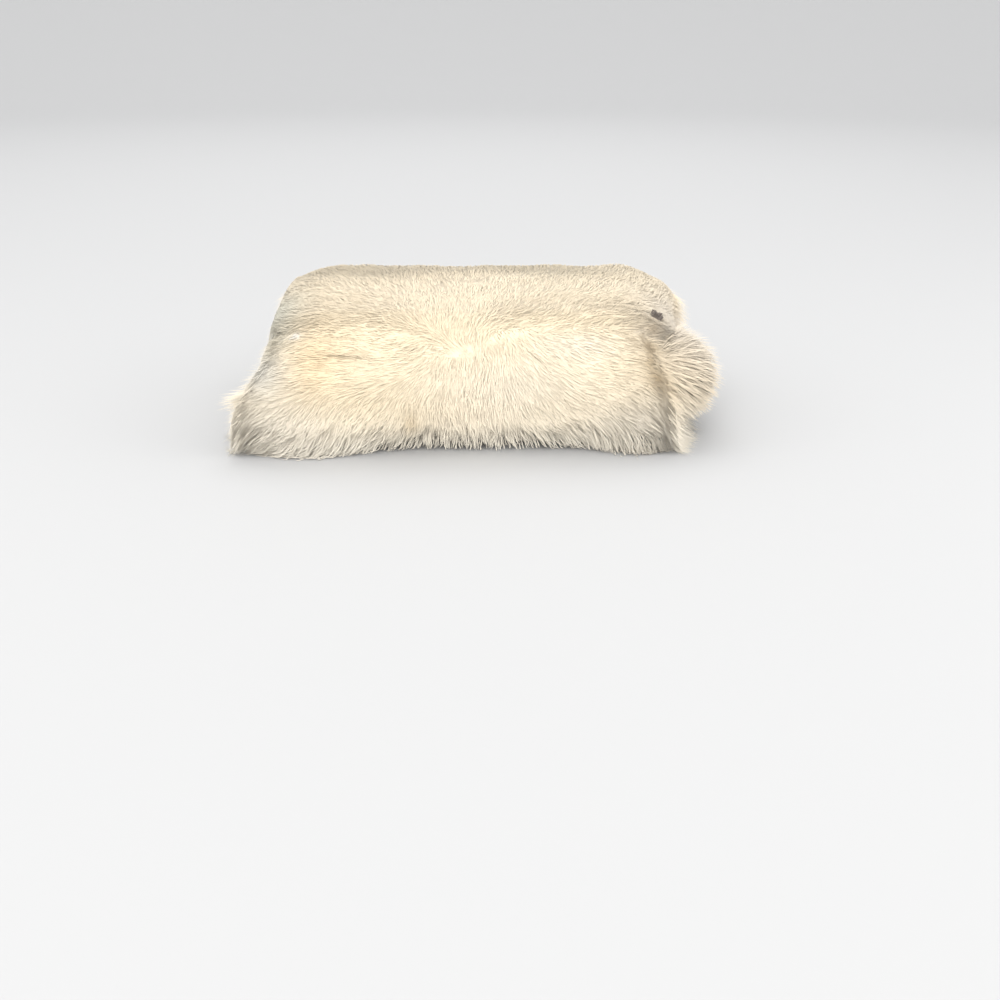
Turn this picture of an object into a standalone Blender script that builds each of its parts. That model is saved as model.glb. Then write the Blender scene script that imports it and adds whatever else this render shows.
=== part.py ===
"""Double sheepskin: two pelts sewn end to end, folded in four with the wool outside.

Each pelt starts as a flat slab of its developed length and width. It is then laid along the folded section:
from the seam in the rounded front fold, over the top or under the bottom to the tight back turn, and back
inside as a flap, leather to leather. The two pelts use one section, mirrored about the middle of the stack.
"""

import math
from typing import NamedTuple

import bmesh
import bpy
from mathutils import Vector, noise

# Leather and clearances, in metres.
HIDE_THICKNESS = 0.0020
WOOL_GAP = 0.0004
SEAM_GAP = 0.0010
MIDDLE_GAP = 0.0016

# The folded section: X runs along the folds, Y from front to back, Z up.
FRONT_AXIS_Y = -0.1095
FRONT_RADIUS = 0.046
UNDER_ANGLE = -5.0
MIDDLE_Z = 0.0824
BACK_TURN_Y = 0.1580
BACK_TURN_RADIUS = 0.0015
FLAP_END_Y = -0.1190

# The seam in the front fold: its angle above the level, in degrees, rises towards both of its ends.
SEAM_ANGLE = 45.0
SEAM_RISE_LEFT = 13.0
SEAM_RISE_RIGHT = 28.0
SEAM_MIDDLE_X = -0.040
SEAM_HALF_LENGTH = 0.250


class EndSag(NamedTuple):
    """How the stack sinks towards one end."""

    start: float
    length: float
    share: float


LEFT_SAG = EndSag(start=0.300, length=0.080, share=0.10)
RIGHT_SAG = EndSag(start=0.215, length=0.150, share=0.17)

# Lumps in the fleece, the roll of its rim, and the wool parting along the seam.
LUMP_HEIGHT = 0.011
LUMP_LENGTH = 0.080
LUMP_STATIONS = 2.2
RIM_ROLL = 0.050
RIM_DROP = 0.30
RIM_FLARE = 0.020
END_LEAN = 0.024
PARTING_DEPTH = 0.012
PARTING_WIDTH = 0.022
TOP_CROWN = 0.006
BACK_BULGE = 0.006


class Skirt(NamedTuple):
    """A lobe where the front wool hangs down to the surface."""

    middle: float
    half_width: float
    extra: float


SKIRTS = (
    Skirt(middle=-0.255, half_width=0.110, extra=0.024),
    Skirt(middle=0.215, half_width=0.070, extra=0.026),
)
SKIRT_SHARE = 0.5

# Locks, drawn out of the rim faces.
LOCK_LENGTH = 0.034
LOCK_SPREAD = 0.024
LOCK_LEVEL = 0.25
LOCK_STRAY = 0.016
LOCK_SAG = 0.008
LOCK_WAIST = 0.60
LOCK_MIDDLE = 0.55
LOCK_UNEVEN = 0.75
LOCK_LEAST = 0.55
LOCK_TIP_HEIGHT = 0.002
STRAIGHT_LOCK_RUNS = ("front", "turn")

ACROSS_STEPS = 22

# Steepness of the lean of the rim and of the flap's end: most of it lies in the last step.
RIM_LEAN_POWER = 7
END_LEAN_POWER = 6

# Spacing of the noise, so that the two pelts and neighbouring locks differ.
LUMP_SIDE_OFFSET = 7.3
STRAY_ALONG = 1.73
STRAY_ACROSS = 3.17
STRAY_SIDE = 5.3


class Run(NamedTuple):
    """One run of a pelt between two folds, with the values at its start."""

    name: str
    steps: int
    pile: float
    left: float
    right: float
    loose: float


UPPER_RUNS = (
    Run("front", 4, 0.052, -0.262, 0.190, 1.0),
    Run("main", 9, 0.060, -0.278, 0.228, 1.0),
    Run("turn", 6, 0.064, -0.278, 0.262, 1.0),
    Run("flap", 6, 0.041, -0.270, 0.252, 0.0),
    Run("end", 0, 0.041, -0.240, 0.205, 0.0),
)
LOWER_RUNS = (
    Run("front", 4, 0.052, -0.272, 0.194, 1.0),
    Run("under", 4, 0.052, -0.312, 0.212, 1.0),
    Run("main", 9, 0.036, -0.332, 0.260, 0.0),
    Run("turn", 6, 0.036, -0.330, 0.340, 1.0),
    Run("flap", 6, 0.041, -0.322, 0.328, 0.0),
    Run("end", 0, 0.041, -0.275, 0.235, 0.0),
)


def smoothstep(value):
    """Ease a value from 0 to 1."""
    value = min(max(value, 0.0), 1.0)
    return value * value * (3.0 - 2.0 * value)


def mix(start, end, share):
    """Blend two values."""
    return start + (end - start) * share


def end_sag(x):
    """Share of its full height that the stack keeps at x."""
    sag = RIGHT_SAG if x > 0.0 else LEFT_SAG
    return 1.0 - sag.share * smoothstep((abs(x) - sag.start) / sag.length)


class Place(NamedTuple):
    """A place on a pelt: its run, the share of that run before it, and its x."""

    run: str
    index: int
    share: float
    x: float


class Pelt:
    """One pelt. side is 1 for the upper one, and -1 for the lower one, which is mirrored about the middle."""

    def __init__(self, name, runs, side):
        self.name = name
        self.runs = runs
        self.side = side
        self.stations = sum(run.steps for run in runs)

    def blend(self, column, index, share):
        """Read one column of the run table, eased between two rows."""
        start = getattr(self.runs[index], column)
        end = getattr(self.runs[index + 1], column)
        return mix(start, end, smoothstep(share))

    def locate(self, station, v):
        """Find the place at a station, counted from the seam, and the share v of the width from the left."""
        first = 0
        index = 0
        while station > first + self.runs[index].steps + 1e-6 and index < len(self.runs) - 2:
            first += self.runs[index].steps
            index += 1
        share = (station - first) / self.runs[index].steps
        x = mix(self.blend("left", index, share), self.blend("right", index, share), v)
        return Place(self.runs[index].name, index, share, x)

    def seam_angle(self, x):
        """Angle of this pelt's edge along the seam, in its own mirrored section."""
        offset = (x - SEAM_MIDDLE_X) / SEAM_HALF_LENGTH
        rise = SEAM_RISE_RIGHT if offset > 0.0 else SEAM_RISE_LEFT
        angle = math.radians(SEAM_ANGLE + rise * offset * offset)
        return self.side * angle + 0.5 * SEAM_GAP / FRONT_RADIUS

    def front_angles(self, run, x):
        """First and last angle of a run round the front fold."""
        level = math.radians(-UNDER_ANGLE)
        if run == "under":
            return level, math.pi / 2.0
        if self.side < 0:
            return self.seam_angle(x), level
        return self.seam_angle(x), math.pi / 2.0

    def section(self, place):
        """Point on the flesh side and normal to the wool side, in the mirrored section."""
        if place.run in ("front", "under"):
            angle = mix(*self.front_angles(place.run, place.x), place.share)
            normal = Vector((-math.cos(angle), math.sin(angle)))
            return Vector((FRONT_AXIS_Y, 0.0)) + FRONT_RADIUS * normal, normal
        if place.run == "main":
            along = mix(FRONT_AXIS_Y, BACK_TURN_Y, place.share)
            return Vector((along, FRONT_RADIUS)), Vector((0.0, 1.0))
        level = FRONT_RADIUS - BACK_TURN_RADIUS
        if place.run == "turn":
            angle = mix(math.pi / 2.0, -math.pi / 2.0, place.share)
            normal = Vector((math.cos(angle), math.sin(angle)))
            return Vector((BACK_TURN_Y, level)) + BACK_TURN_RADIUS * normal, normal
        along = mix(BACK_TURN_Y, FLAP_END_Y, place.share)
        return Vector((along, level - BACK_TURN_RADIUS)), Vector((0.0, -1.0))

    def pile(self, station, v):
        """Height of the wool at a place of the pelt."""
        place = self.locate(station, v)
        height = self.blend("pile", place.index, place.share)
        loose = self.blend("loose", place.index, place.share)
        if place.run == "front":
            height -= self.parting_depth(place)
        if place.run == "under":
            height += sum(skirt_height(skirt, place) for skirt in SKIRTS)
        if place.run == "main" and self.side > 0:
            height += TOP_CROWN * math.sin(math.pi * place.share)
        if place.run == "turn":
            height += BACK_BULGE * math.sin(math.pi * place.share) ** 2
        spot = Vector((place.x / LUMP_LENGTH, station / LUMP_STATIONS, LUMP_SIDE_OFFSET * self.side))
        height += LUMP_HEIGHT * loose * noise.noise(spot)
        rim = min(place.x - self.blend("left", place.index, place.share),
                  self.blend("right", place.index, place.share) - place.x)
        roll = max(0.0, 1.0 - rim / RIM_ROLL)
        return height * (1.0 - RIM_DROP * loose * roll * roll)

    def parting_depth(self, place):
        """Depth by which the wool parts along the seam."""
        first, last = self.front_angles(place.run, place.x)
        distance = place.share * FRONT_RADIUS * (last - first) / PARTING_WIDTH
        return PARTING_DEPTH * math.exp(-distance * distance)

    def lay(self, station, v, height, lean):
        """World point at a height above the leather's flesh side. lean is 1 where the wool leans out."""
        place = self.locate(station, v)
        point, normal = self.section(place)
        point = point + normal * height
        if place.run == "flap":
            point.x -= END_LEAN * lean * place.share ** END_LEAN_POWER
        if place.run in ("turn", "flap"):
            point.y = max(point.y, 0.5 * MIDDLE_GAP)
        x = place.x + RIM_FLARE * lean * (2.0 * v - 1.0) ** RIM_LEAN_POWER
        z = (MIDDLE_Z + self.side * point.y) * end_sag(x)
        return Vector((x, point.x, max(z, 0.0)))

    def keep_apart(self, point, run):
        """Keep a lock on its own side of the middle, and above the surface."""
        middle = MIDDLE_Z * end_sag(point.x)
        if run in ("turn", "flap"):
            level = self.side * (point.z - middle)
            point.z = middle + self.side * max(level, MIDDLE_GAP)
        point.z = max(point.z, 0.0)


def skirt_height(skirt, place):
    """Extra wool of one lobe at a place low on the front."""
    beside = 1.0 - min(abs(place.x - skirt.middle) / skirt.half_width, 1.0)
    below = smoothstep(place.share / SKIRT_SHARE) * (1.0 - smoothstep(place.share - SKIRT_SHARE))
    return skirt.extra * smoothstep(beside) * below


def flat_slab(stations, layers):
    """Closed flat slab, one unit each way, with one cell for each step of the developed pelt."""
    slab = bmesh.new()
    bmesh.ops.create_grid(slab, x_segments=stations, y_segments=ACROSS_STEPS, size=0.5)
    raised = bmesh.ops.extrude_face_region(slab, geom=slab.faces[:])["geom"]
    tops = [item for item in raised if isinstance(item, bmesh.types.BMVert)]
    bmesh.ops.translate(slab, verts=tops, vec=(0.0, 0.0, 1.0))
    if layers > 1:
        upright = [edge for edge in slab.edges if abs(edge.verts[0].co.z - edge.verts[1].co.z) > 0.5]
        bmesh.ops.subdivide_edges(slab, edges=upright, cuts=layers - 1, use_grid_fill=True)
    bmesh.ops.recalc_face_normals(slab, faces=slab.faces[:])
    return slab


def split_cells(slab):
    """Split each cell of both sheets along the same diagonal, so that facing sheets stay parallel."""
    cells = [face for face in slab.faces if abs(face.normal.z) > 0.5]
    for face in cells:
        corners = sorted(face.verts, key=lambda vert: vert.co.x + vert.co.y)
        bmesh.utils.face_split(face, corners[0], corners[-1])


def lay_out(slab, pelt, low, high):
    """Lay the flat slab along the folded section, its two sheets at the heights low and high(station, v)."""
    for vert in slab.verts:
        station = (vert.co.x + 0.5) * pelt.stations
        v = vert.co.y + 0.5
        top = high(station, v)
        lean = vert.co.z if top > HIDE_THICKNESS else 0.0
        vert.co = pelt.lay(station, v, mix(low, top, vert.co.z), lean)


def finish_object(name, slab, pelt, material):
    """Turn the laid slab into an object. Only the mirrored pelt keeps its facing."""
    if pelt.side > 0:
        bmesh.ops.reverse_faces(slab, faces=slab.faces[:])
    mesh = bpy.data.meshes.new(name)
    slab.to_mesh(mesh)
    slab.free()
    mesh.materials.append(material)
    mesh.shade_smooth()
    piece = bpy.data.objects.new(name, mesh)
    bpy.context.scene.collection.objects.link(piece)
    return piece


def make_material(name, colour, roughness):
    """Plain material of one colour."""
    material = bpy.data.materials.new(name)
    material.use_nodes = True
    shader = material.node_tree.nodes["Principled BSDF"]
    shader.inputs["Base Color"].default_value = (*colour, 1.0)
    shader.inputs["Roughness"].default_value = roughness
    shader.inputs["Metallic"].default_value = 0.0
    return material


def make_hide(pelt, material):
    """The leather: a thin sheet folded along the section."""
    slab = flat_slab(pelt.stations, 1)
    split_cells(slab)
    lay_out(slab, pelt, 0.0, lambda station, v: HIDE_THICKNESS)
    return finish_object("hide_" + pelt.name, slab, pelt, material)


def make_fleece(pelt, material):
    """The wool: a lumpy slab on the leather, with locks at its rim."""
    root = HIDE_THICKNESS + WOOL_GAP
    slab = flat_slab(pelt.stations, 2)
    locks = rim_locks(slab, pelt)
    split_cells(slab)
    lay_out(slab, pelt, root, lambda station, v: root + pelt.pile(station, v))
    for face, reach, run in locks:
        pull_lock(slab, face, reach, pelt, run)
    return finish_object("fleece_" + pelt.name, slab, pelt, material)


def stray(station, across, side):
    """Number from about -0.6 to 0.6 that makes one lock unlike the next, the same in each run."""
    return noise.noise(Vector((station * STRAY_ALONG, across * STRAY_ACROSS, STRAY_SIDE * side)))


def rim_locks(slab, pelt):
    """List the rim faces of the flat slab, each with the reach of its lock and its run."""
    locks = []
    for face in slab.faces:
        if abs(face.normal.y) < 0.9:
            continue
        centre = face.calc_center_median()
        station = (centre.x + 0.5) * pelt.stations
        outward = 1.0 if centre.y > 0.0 else -1.0
        place = pelt.locate(station, centre.y + 0.5)
        normal = pelt.section(place)[1]
        uneven = 1.0 + LOCK_UNEVEN * stray(station, outward + centre.z, pelt.side)
        length = LOCK_LENGTH * max(uneven, LOCK_LEAST)
        spread = LOCK_SPREAD * (centre.z - LOCK_LEVEL)
        along = LOCK_STRAY * stray(station + 0.5, outward - centre.z, pelt.side)
        if place.run in STRAIGHT_LOCK_RUNS:
            along = 0.0
        bend = normal * spread + Vector((normal.y, -normal.x)) * along
        reach = Vector((outward * length, bend.x, pelt.side * bend.y))
        locks.append((face, reach, place.run))
    return locks


def pull_lock(slab, face, reach, pelt, run):
    """Draw one face out into a lock of two tapered lengths."""
    start = face.calc_center_median()
    middle = bmesh.ops.extrude_discrete_faces(slab, faces=[face])["faces"][0]
    for vert in middle.verts:
        vert.co = start + (vert.co - start) * LOCK_WAIST + reach * LOCK_MIDDLE
        pelt.keep_apart(vert.co, run)
    tip = bmesh.ops.poke(slab, faces=[middle])["verts"][0]
    tip.co = start + reach - Vector((0.0, 0.0, LOCK_SAG))
    pelt.keep_apart(tip.co, run)
    tip.co.z = max(tip.co.z, LOCK_TIP_HEIGHT)


def centre_on_floor(pieces):
    """Move the whole model so that the bottom centre of its box is the origin."""
    points = [vert.co for piece in pieces for vert in piece.data.vertices]
    low = Vector([min(point[axis] for point in points) for axis in range(3)])
    high = Vector([max(point[axis] for point in points) for axis in range(3)])
    shift = Vector((-0.5 * (low.x + high.x), -0.5 * (low.y + high.y), -low.z))
    for piece in pieces:
        for vert in piece.data.vertices:
            vert.co += shift


def main():
    """Build the four pieces of the folded double sheepskin."""
    for item in list(bpy.data.objects):
        bpy.data.objects.remove(item, do_unlink=True)
    leather = make_material("tanned_leather", (0.62, 0.46, 0.29), 0.75)
    wool = make_material("cream_wool", (0.86, 0.76, 0.55), 0.85)
    pieces = []
    for pelt in (Pelt("lower", LOWER_RUNS, -1), Pelt("upper", UPPER_RUNS, 1)):
        pieces.append(make_hide(pelt, leather))
        pieces.append(make_fleece(pelt, wool))
    centre_on_floor(pieces)


main()
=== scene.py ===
"""Folded double sheepskin: two long-wool pelts sewn end to end and folded in layers, wool outside."""

import logging
import math
from dataclasses import dataclass
from enum import Enum
from typing import NamedTuple

import bpy
import numpy as np
from mathutils import Matrix, Vector, kdtree, noise


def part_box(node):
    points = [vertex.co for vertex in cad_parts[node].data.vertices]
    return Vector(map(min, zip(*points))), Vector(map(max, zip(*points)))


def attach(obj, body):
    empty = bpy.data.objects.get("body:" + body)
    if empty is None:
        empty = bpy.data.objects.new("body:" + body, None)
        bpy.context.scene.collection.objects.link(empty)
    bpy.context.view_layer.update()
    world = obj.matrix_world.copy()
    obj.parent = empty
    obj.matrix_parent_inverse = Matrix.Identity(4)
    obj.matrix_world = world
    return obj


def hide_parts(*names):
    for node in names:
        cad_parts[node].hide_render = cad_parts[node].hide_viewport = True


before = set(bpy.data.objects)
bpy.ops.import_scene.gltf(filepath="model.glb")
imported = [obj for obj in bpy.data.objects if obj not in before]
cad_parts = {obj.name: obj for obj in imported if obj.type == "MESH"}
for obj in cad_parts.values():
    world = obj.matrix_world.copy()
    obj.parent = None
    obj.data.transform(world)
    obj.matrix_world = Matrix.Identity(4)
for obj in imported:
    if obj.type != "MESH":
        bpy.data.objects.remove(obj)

log = logging.getLogger("sheepskin")
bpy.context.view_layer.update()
ROOT_BODY = "root"
UPPER_HIDE, LOWER_HIDE = "hide_upper", "hide_lower"
UPPER_FLEECE, LOWER_FLEECE = "fleece_upper", "fleece_lower"
TINT = "tint"

# The folded section, as the solids have it, in metres before the model is centred.
HIDE_THICKNESS = 0.0020
WOOL_GAP = 0.0004
SEAM_GAP = 0.0010
MIDDLE_GAP = 0.0016
FRONT_AXIS_Y = -0.1095
FRONT_RADIUS = 0.046
UNDER_ANGLE = -5.0
MIDDLE_Z = 0.0824
BACK_TURN_Y = 0.1580
BACK_TURN_RADIUS = 0.0015
FLAP_END_Y = -0.1190
SEAM_ANGLE = 45.0
SEAM_RISE_LEFT = 13.0
SEAM_RISE_RIGHT = 28.0
SEAM_MIDDLE_X = -0.040
SEAM_HALF_LENGTH = 0.250
LUMP_HEIGHT = 0.011
LUMP_LENGTH = 0.080
LUMP_STATIONS = 2.2
LUMP_SIDE_OFFSET = 7.3
RIM_ROLL = 0.050
RIM_DROP = 0.30
RIM_FLARE = 0.020
RIM_LEAN_POWER = 7
END_LEAN = 0.024
END_LEAN_POWER = 6
PARTING_DEPTH = 0.004
PARTING_WIDTH = 0.022
TOP_CROWN = 0.006
BACK_BULGE = 0.006
SKIRT_SHARE = 0.5

# Where the lower hide lies before the model is centred: its least X and greatest Y.
HIDE_LEAST_X = -0.3320
HIDE_MOST_Y = 0.1615

# How the wool is mapped and combed over that section.
CELLS_A_STATION = 8
CELLS_ACROSS = 160
SAMPLE_CELLS = 60
TOP_CALM = 0.4
SEAM_OVERLAP = 1.5
RIM_TURN = 1.3
RIM_TILT_SHARE = 0.05
COMB_REACH_X = 0.045
COMB_REACH_STATIONS = 1.4
COMB_SOFTNESS = 0.15
LEAST_STATION = 0.006
WALK_STEP = 0.02
HANG_STEP = 0.05

# How strands stand, and how they vary from one to the next as shares of the mean.
LEAST_HEIGHT = 0.0012
LEAST_WOOL = 0.002
BARE_LIFT = 0.006
STRAND_FLATNESS = 0.25
ROOT_WIDTH = 0.7
LOCK_LENGTHS = (0.75, 1.2)
STRAND_LENGTHS = (0.7, 1.15)
STRAND_WIDTHS = (0.7, 1.25)

# How the wool is shaded: its normals lean upwards and along the strand, and painted shade darkens its roots.
UPWARD_SHADE = 0.7
SPOKE_SHADE = 0.08
ALONG_SHADE = 0.10
LEAST_SKYWARD = 0.25
BED_PAINTED_SHADE = 0.62
BED_LEVEL = 0.35


class EndSag(NamedTuple):
    """How the stack sinks towards one end."""

    start: float
    length: float
    share: float


class Skirt(NamedTuple):
    """A lobe where the front wool hangs down to the surface."""

    middle: float
    half_width: float
    extra: float


class Run(NamedTuple):
    """One run of a pelt between two folds, with the values at its start."""

    name: str
    steps: int
    pile: float
    left: float
    right: float
    loose: float


class Spill(NamedTuple):
    """How far the dense wool runs past the leather at the start of a run."""

    left: float
    right: float


class Swell(NamedTuple):
    """A place where the wool stands higher, with its reach in metres and in stations."""

    x: float
    station: float
    reach: float
    reach_stations: float
    height: float


class Comb(NamedTuple):
    """A place where the fall of the wool is known: its turn towards X from straight along the pelt."""

    x: float
    station: float
    turn: float


class End(Enum):
    """The two ends of the folded pelts, as shares of the width."""

    LEFT = 0
    RIGHT = 1


class Side(Enum):
    """The two pelts, with the sign that turns the section over."""

    UPPER = 1
    LOWER = -1


class TintPatch(NamedTuple):
    """A soft patch of another shade in the wool: where it is, its reach each way, its colour and strength."""

    place: tuple[float, float, float]
    reach: tuple[float, float, float]
    colour: tuple[float, float, float]
    strength: float


# How the stack sinks at its ends, its two front lobes, and the runs of each pelt from the seam to its end.
LEFT_SAG = EndSag(start=0.300, length=0.080, share=0.10)
RIGHT_SAG = EndSag(start=0.215, length=0.150, share=0.17)
SKIRTS = (
    Skirt(middle=-0.255, half_width=0.110, extra=0.024),
    Skirt(middle=0.215, half_width=0.070, extra=0.026),
)
UPPER_RUNS = (
    Run("front", 4, 0.052, -0.262, 0.190, 1.0),
    Run("main", 9, 0.060, -0.278, 0.228, 1.0),
    Run("turn", 6, 0.064, -0.278, 0.262, 1.0),
    Run("flap", 6, 0.041, -0.270, 0.252, 0.0),
    Run("end", 0, 0.041, -0.240, 0.205, 0.0),
)
LOWER_RUNS = (
    Run("front", 4, 0.052, -0.272, 0.194, 1.0),
    Run("under", 4, 0.052, -0.312, 0.212, 1.0),
    Run("main", 9, 0.036, -0.332, 0.260, 0.0),
    Run("turn", 6, 0.036, -0.330, 0.340, 1.0),
    Run("flap", 6, 0.041, -0.322, 0.328, 0.0),
    Run("end", 0, 0.041, -0.275, 0.235, 0.0),
)

# How far the dense wool runs past the leather, where it swells, and how tightly it turns down at its rims.
UPPER_SPILLS = (
    Spill(0.0, 0.024),
    Spill(0.002, 0.028),
    Spill(0.018, 0.028),
    Spill(0.010, 0.015),
    Spill(0.0, 0.0),
)
LOWER_SPILLS = (
    Spill(0.010, 0.010),
    Spill(0.016, 0.020),
    Spill(0.010, 0.010),
    Spill(0.010, 0.010),
    Spill(0.006, 0.006),
    Spill(0.0, 0.0),
)
UPPER_SWELLS = (
    Swell(x=0.292, station=10.0, reach=0.045, reach_stations=4.5, height=0.030),
    Swell(x=-0.285, station=9.0, reach=0.040, reach_stations=4.0, height=0.009),
)
LOWER_SWELLS = (
    Swell(x=0.225, station=4.4, reach=0.040, reach_stations=1.5, height=0.014),
    Swell(x=-0.335, station=4.6, reach=0.045, reach_stations=1.6, height=0.014),
)

UPPER_RIM_RADII = (0.014, 0.036)
LOWER_RIM_RADII = (0.032, 0.028)

# Which way the wool falls, at places read off the photograph.
UPPER_COMBS = (
    Comb(-0.180, 8.1, -23.0), Comb(-0.100, 9.1, -15.0), Comb(-0.211, 4.9, -54.0), Comb(-0.262, 5.8, -69.0),
    Comb(-0.199, 2.2, -90.0), Comb(-0.264, 2.0, -92.0), Comb(-0.072, 4.9, -7.0), Comb(-0.041, 1.5, 12.0),
    Comb(-0.084, 0.3, -85.0), Comb(0.000, 9.7, -4.0), Comb(0.098, 9.3, 7.0), Comb(0.145, 8.7, 12.0),
    Comb(0.219, 9.8, 16.0), Comb(0.177, 3.7, 62.0), Comb(0.176, 1.8, 60.0), Comb(0.101, 3.6, 37.0),
    Comb(0.047, 1.5, 80.0), Comb(-0.240, 16.0, -25.0), Comb(0.000, 16.0, 0.0), Comb(0.230, 16.0, 25.0),
)
LOWER_COMBS = (
    Comb(-0.191, 0.1, -88.0), Comb(-0.221, 2.0, -87.0), Comb(-0.141, 1.3, -88.0), Comb(-0.164, 2.2, -85.0),
    Comb(-0.133, 3.3, -38.0), Comb(-0.178, 4.2, -34.0), Comb(-0.155, 5.3, -34.0), Comb(-0.110, 3.2, -10.0),
    Comb(-0.109, 4.6, -24.0), Comb(-0.086, 4.2, -1.0), Comb(-0.060, 3.7, 16.0), Comb(-0.243, 3.8, -28.0),
    Comb(-0.295, 4.9, -38.0), Comb(-0.312, 4.3, -57.0), Comb(-0.308, 3.2, -85.0), Comb(-0.293, 2.1, -60.0),
    Comb(-0.271, 1.6, -80.0), Comb(0.008, 1.9, 0.0), Comb(0.022, 0.7, 19.0), Comb(0.064, 2.2, 37.0),
    Comb(0.055, 4.3, 33.0), Comb(0.098, 2.2, 54.0), Comb(0.092, 0.2, 60.0), Comb(0.143, 0.8, 63.0),
    Comb(0.188, 2.1, 75.0), Comb(0.149, 3.5, 62.0), Comb(0.104, 4.0, 53.0), Comb(0.202, 3.7, 44.0),
    Comb(0.187, 4.4, 36.0), Comb(0.127, 5.1, 20.0), Comb(0.019, 5.0, 1.0), Comb(-0.026, 6.0, -5.0),
    Comb(0.182, 5.7, -5.0), Comb(0.220, 5.5, 10.0), Comb(-0.030, 3.3, 4.0), Comb(-0.041, 1.9, 0.0),
    Comb(-0.250, 20.0, 180.0), Comb(0.000, 20.0, 180.0), Comb(0.250, 20.0, 180.0),
    Comb(-0.290, 25.0, -90.0), Comb(-0.290, 28.0, -80.0), Comb(0.290, 25.0, 90.0), Comb(0.290, 28.0, 80.0),
)

# Shades of the wool as a screen shows them, and where each lies.
PEACH = (252.0, 216.0, 164.0)
TAN = (206.0, 180.0, 138.0)
PAINTED_TOP_SHADE = (184.0, 168.0, 138.0)
PAINTED_SHADE_SAGE = (218.0, 217.0, 200.0)
PAINTED_SHADE_GREY = (216.0, 214.0, 206.0)
PEARL = (250.0, 240.0, 222.0)
SNOW_AND_GLINT = (255.0, 250.0, 240.0)
PAINTED_SHADE_OYSTER = (228.0, 217.0, 202.0)
CREASE_SHADE = (190.0, 164.0, 124.0)
# Painted shade: the colour of the strands that stand for the shadowed gap near the right end.
HOLE_SHADE_UMBER = (74.0, 38.0, 10.0)
PATCHES = (
    TintPatch((-0.245, -0.185, 0.128), (0.036, 0.060, 0.045), PEACH, 0.45),
    TintPatch((-0.114, -0.210, 0.050), (0.012, 0.030, 0.018), TAN, 0.60),
    # Painted shade: beige patches darken the top and its back, which the light reaches only at a slant.
    TintPatch((-0.240, 0.110, 0.196), (0.080, 0.060, 0.030), PAINTED_TOP_SHADE, 0.90),
    TintPatch((-0.140, 0.100, 0.198), (0.060, 0.045, 0.030), PAINTED_TOP_SHADE, 0.70),
    TintPatch((0.150, 0.080, 0.196), (0.070, 0.050, 0.030), PAINTED_TOP_SHADE, 0.50),
    TintPatch((0.020, 0.130, 0.200), (0.270, 0.055, 0.040), PAINTED_TOP_SHADE, 0.90),
    # Painted shade: grey-green and grey patches on the left end, which lies in shade.
    TintPatch((-0.305, -0.080, 0.165), (0.034, 0.090, 0.060), PAINTED_SHADE_SAGE, 0.85),
    TintPatch((-0.320, -0.185, 0.115), (0.036, 0.060, 0.035), PAINTED_SHADE_GREY, 0.85),
    TintPatch((0.030, -0.205, 0.095), (0.150, 0.060, 0.055), PEARL, 0.60),
    TintPatch((-0.380, -0.170, 0.075), (0.040, 0.070, 0.040), PEARL, 0.85),
    # Painted highlight: this tiny white patch is a glint by the left notch, carried by a few raised strands.
    TintPatch((-0.272, -0.156, 0.163), (0.007, 0.007, 0.007), SNOW_AND_GLINT, 1.00),
    TintPatch((-0.310, -0.200, 0.045), (0.080, 0.070, 0.050), PEARL, 0.80),
    TintPatch((0.210, -0.210, 0.040), (0.070, 0.070, 0.050), PEARL, 0.80),
    TintPatch((0.120, -0.175, 0.150), (0.060, 0.030, 0.018), SNOW_AND_GLINT, 0.35),
    # Painted shade: grey patches on the right end, which faces away from the front light.
    TintPatch((0.290, -0.100, 0.100), (0.070, 0.090, 0.070), PAINTED_SHADE_OYSTER, 0.85),
    # Painted shade: tan patches darken the crease between the layers at the right end.
    TintPatch((0.236, -0.128, 0.163), (0.014, 0.018, 0.014), CREASE_SHADE, 0.90),
    TintPatch((0.224, -0.165, 0.146), (0.010, 0.016, 0.014), CREASE_SHADE, 0.70),
    TintPatch((0.221, -0.186, 0.130), (0.010, 0.016, 0.014), CREASE_SHADE, 0.75),
    TintPatch((0.229, -0.198, 0.108), (0.014, 0.018, 0.014), CREASE_SHADE, 0.90),
    TintPatch((0.240, -0.196, 0.092), (0.014, 0.016, 0.010), CREASE_SHADE, 0.75),
    # Painted shade: more grey higher on the right end.
    TintPatch((0.290, -0.060, 0.170), (0.050, 0.080, 0.040), PAINTED_SHADE_OYSTER, 0.60),
)


def ease(value: np.ndarray) -> np.ndarray:
    """Ease values from 0 to 1."""
    value = np.clip(value, 0.0, 1.0)
    return value * value * (3.0 - 2.0 * value)


def mix(start: np.ndarray, end: np.ndarray, share: np.ndarray) -> np.ndarray:
    """Blend two sets of values."""
    return start + (end - start) * share


def unit(vectors: np.ndarray) -> np.ndarray:
    """Vectors of length one."""
    return vectors / np.maximum(np.linalg.norm(vectors, axis=-1, keepdims=True), 1e-9)


def linear(red: float, green: float, blue: float) -> np.ndarray:
    """Turn a colour as a screen shows it, from 0 to 255, into Blender's linear one."""
    shown = np.array((red, green, blue)) / 255.0
    return np.where(shown <= 0.04045, shown / 12.92, ((shown + 0.055) / 1.055) ** 2.4)


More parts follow.
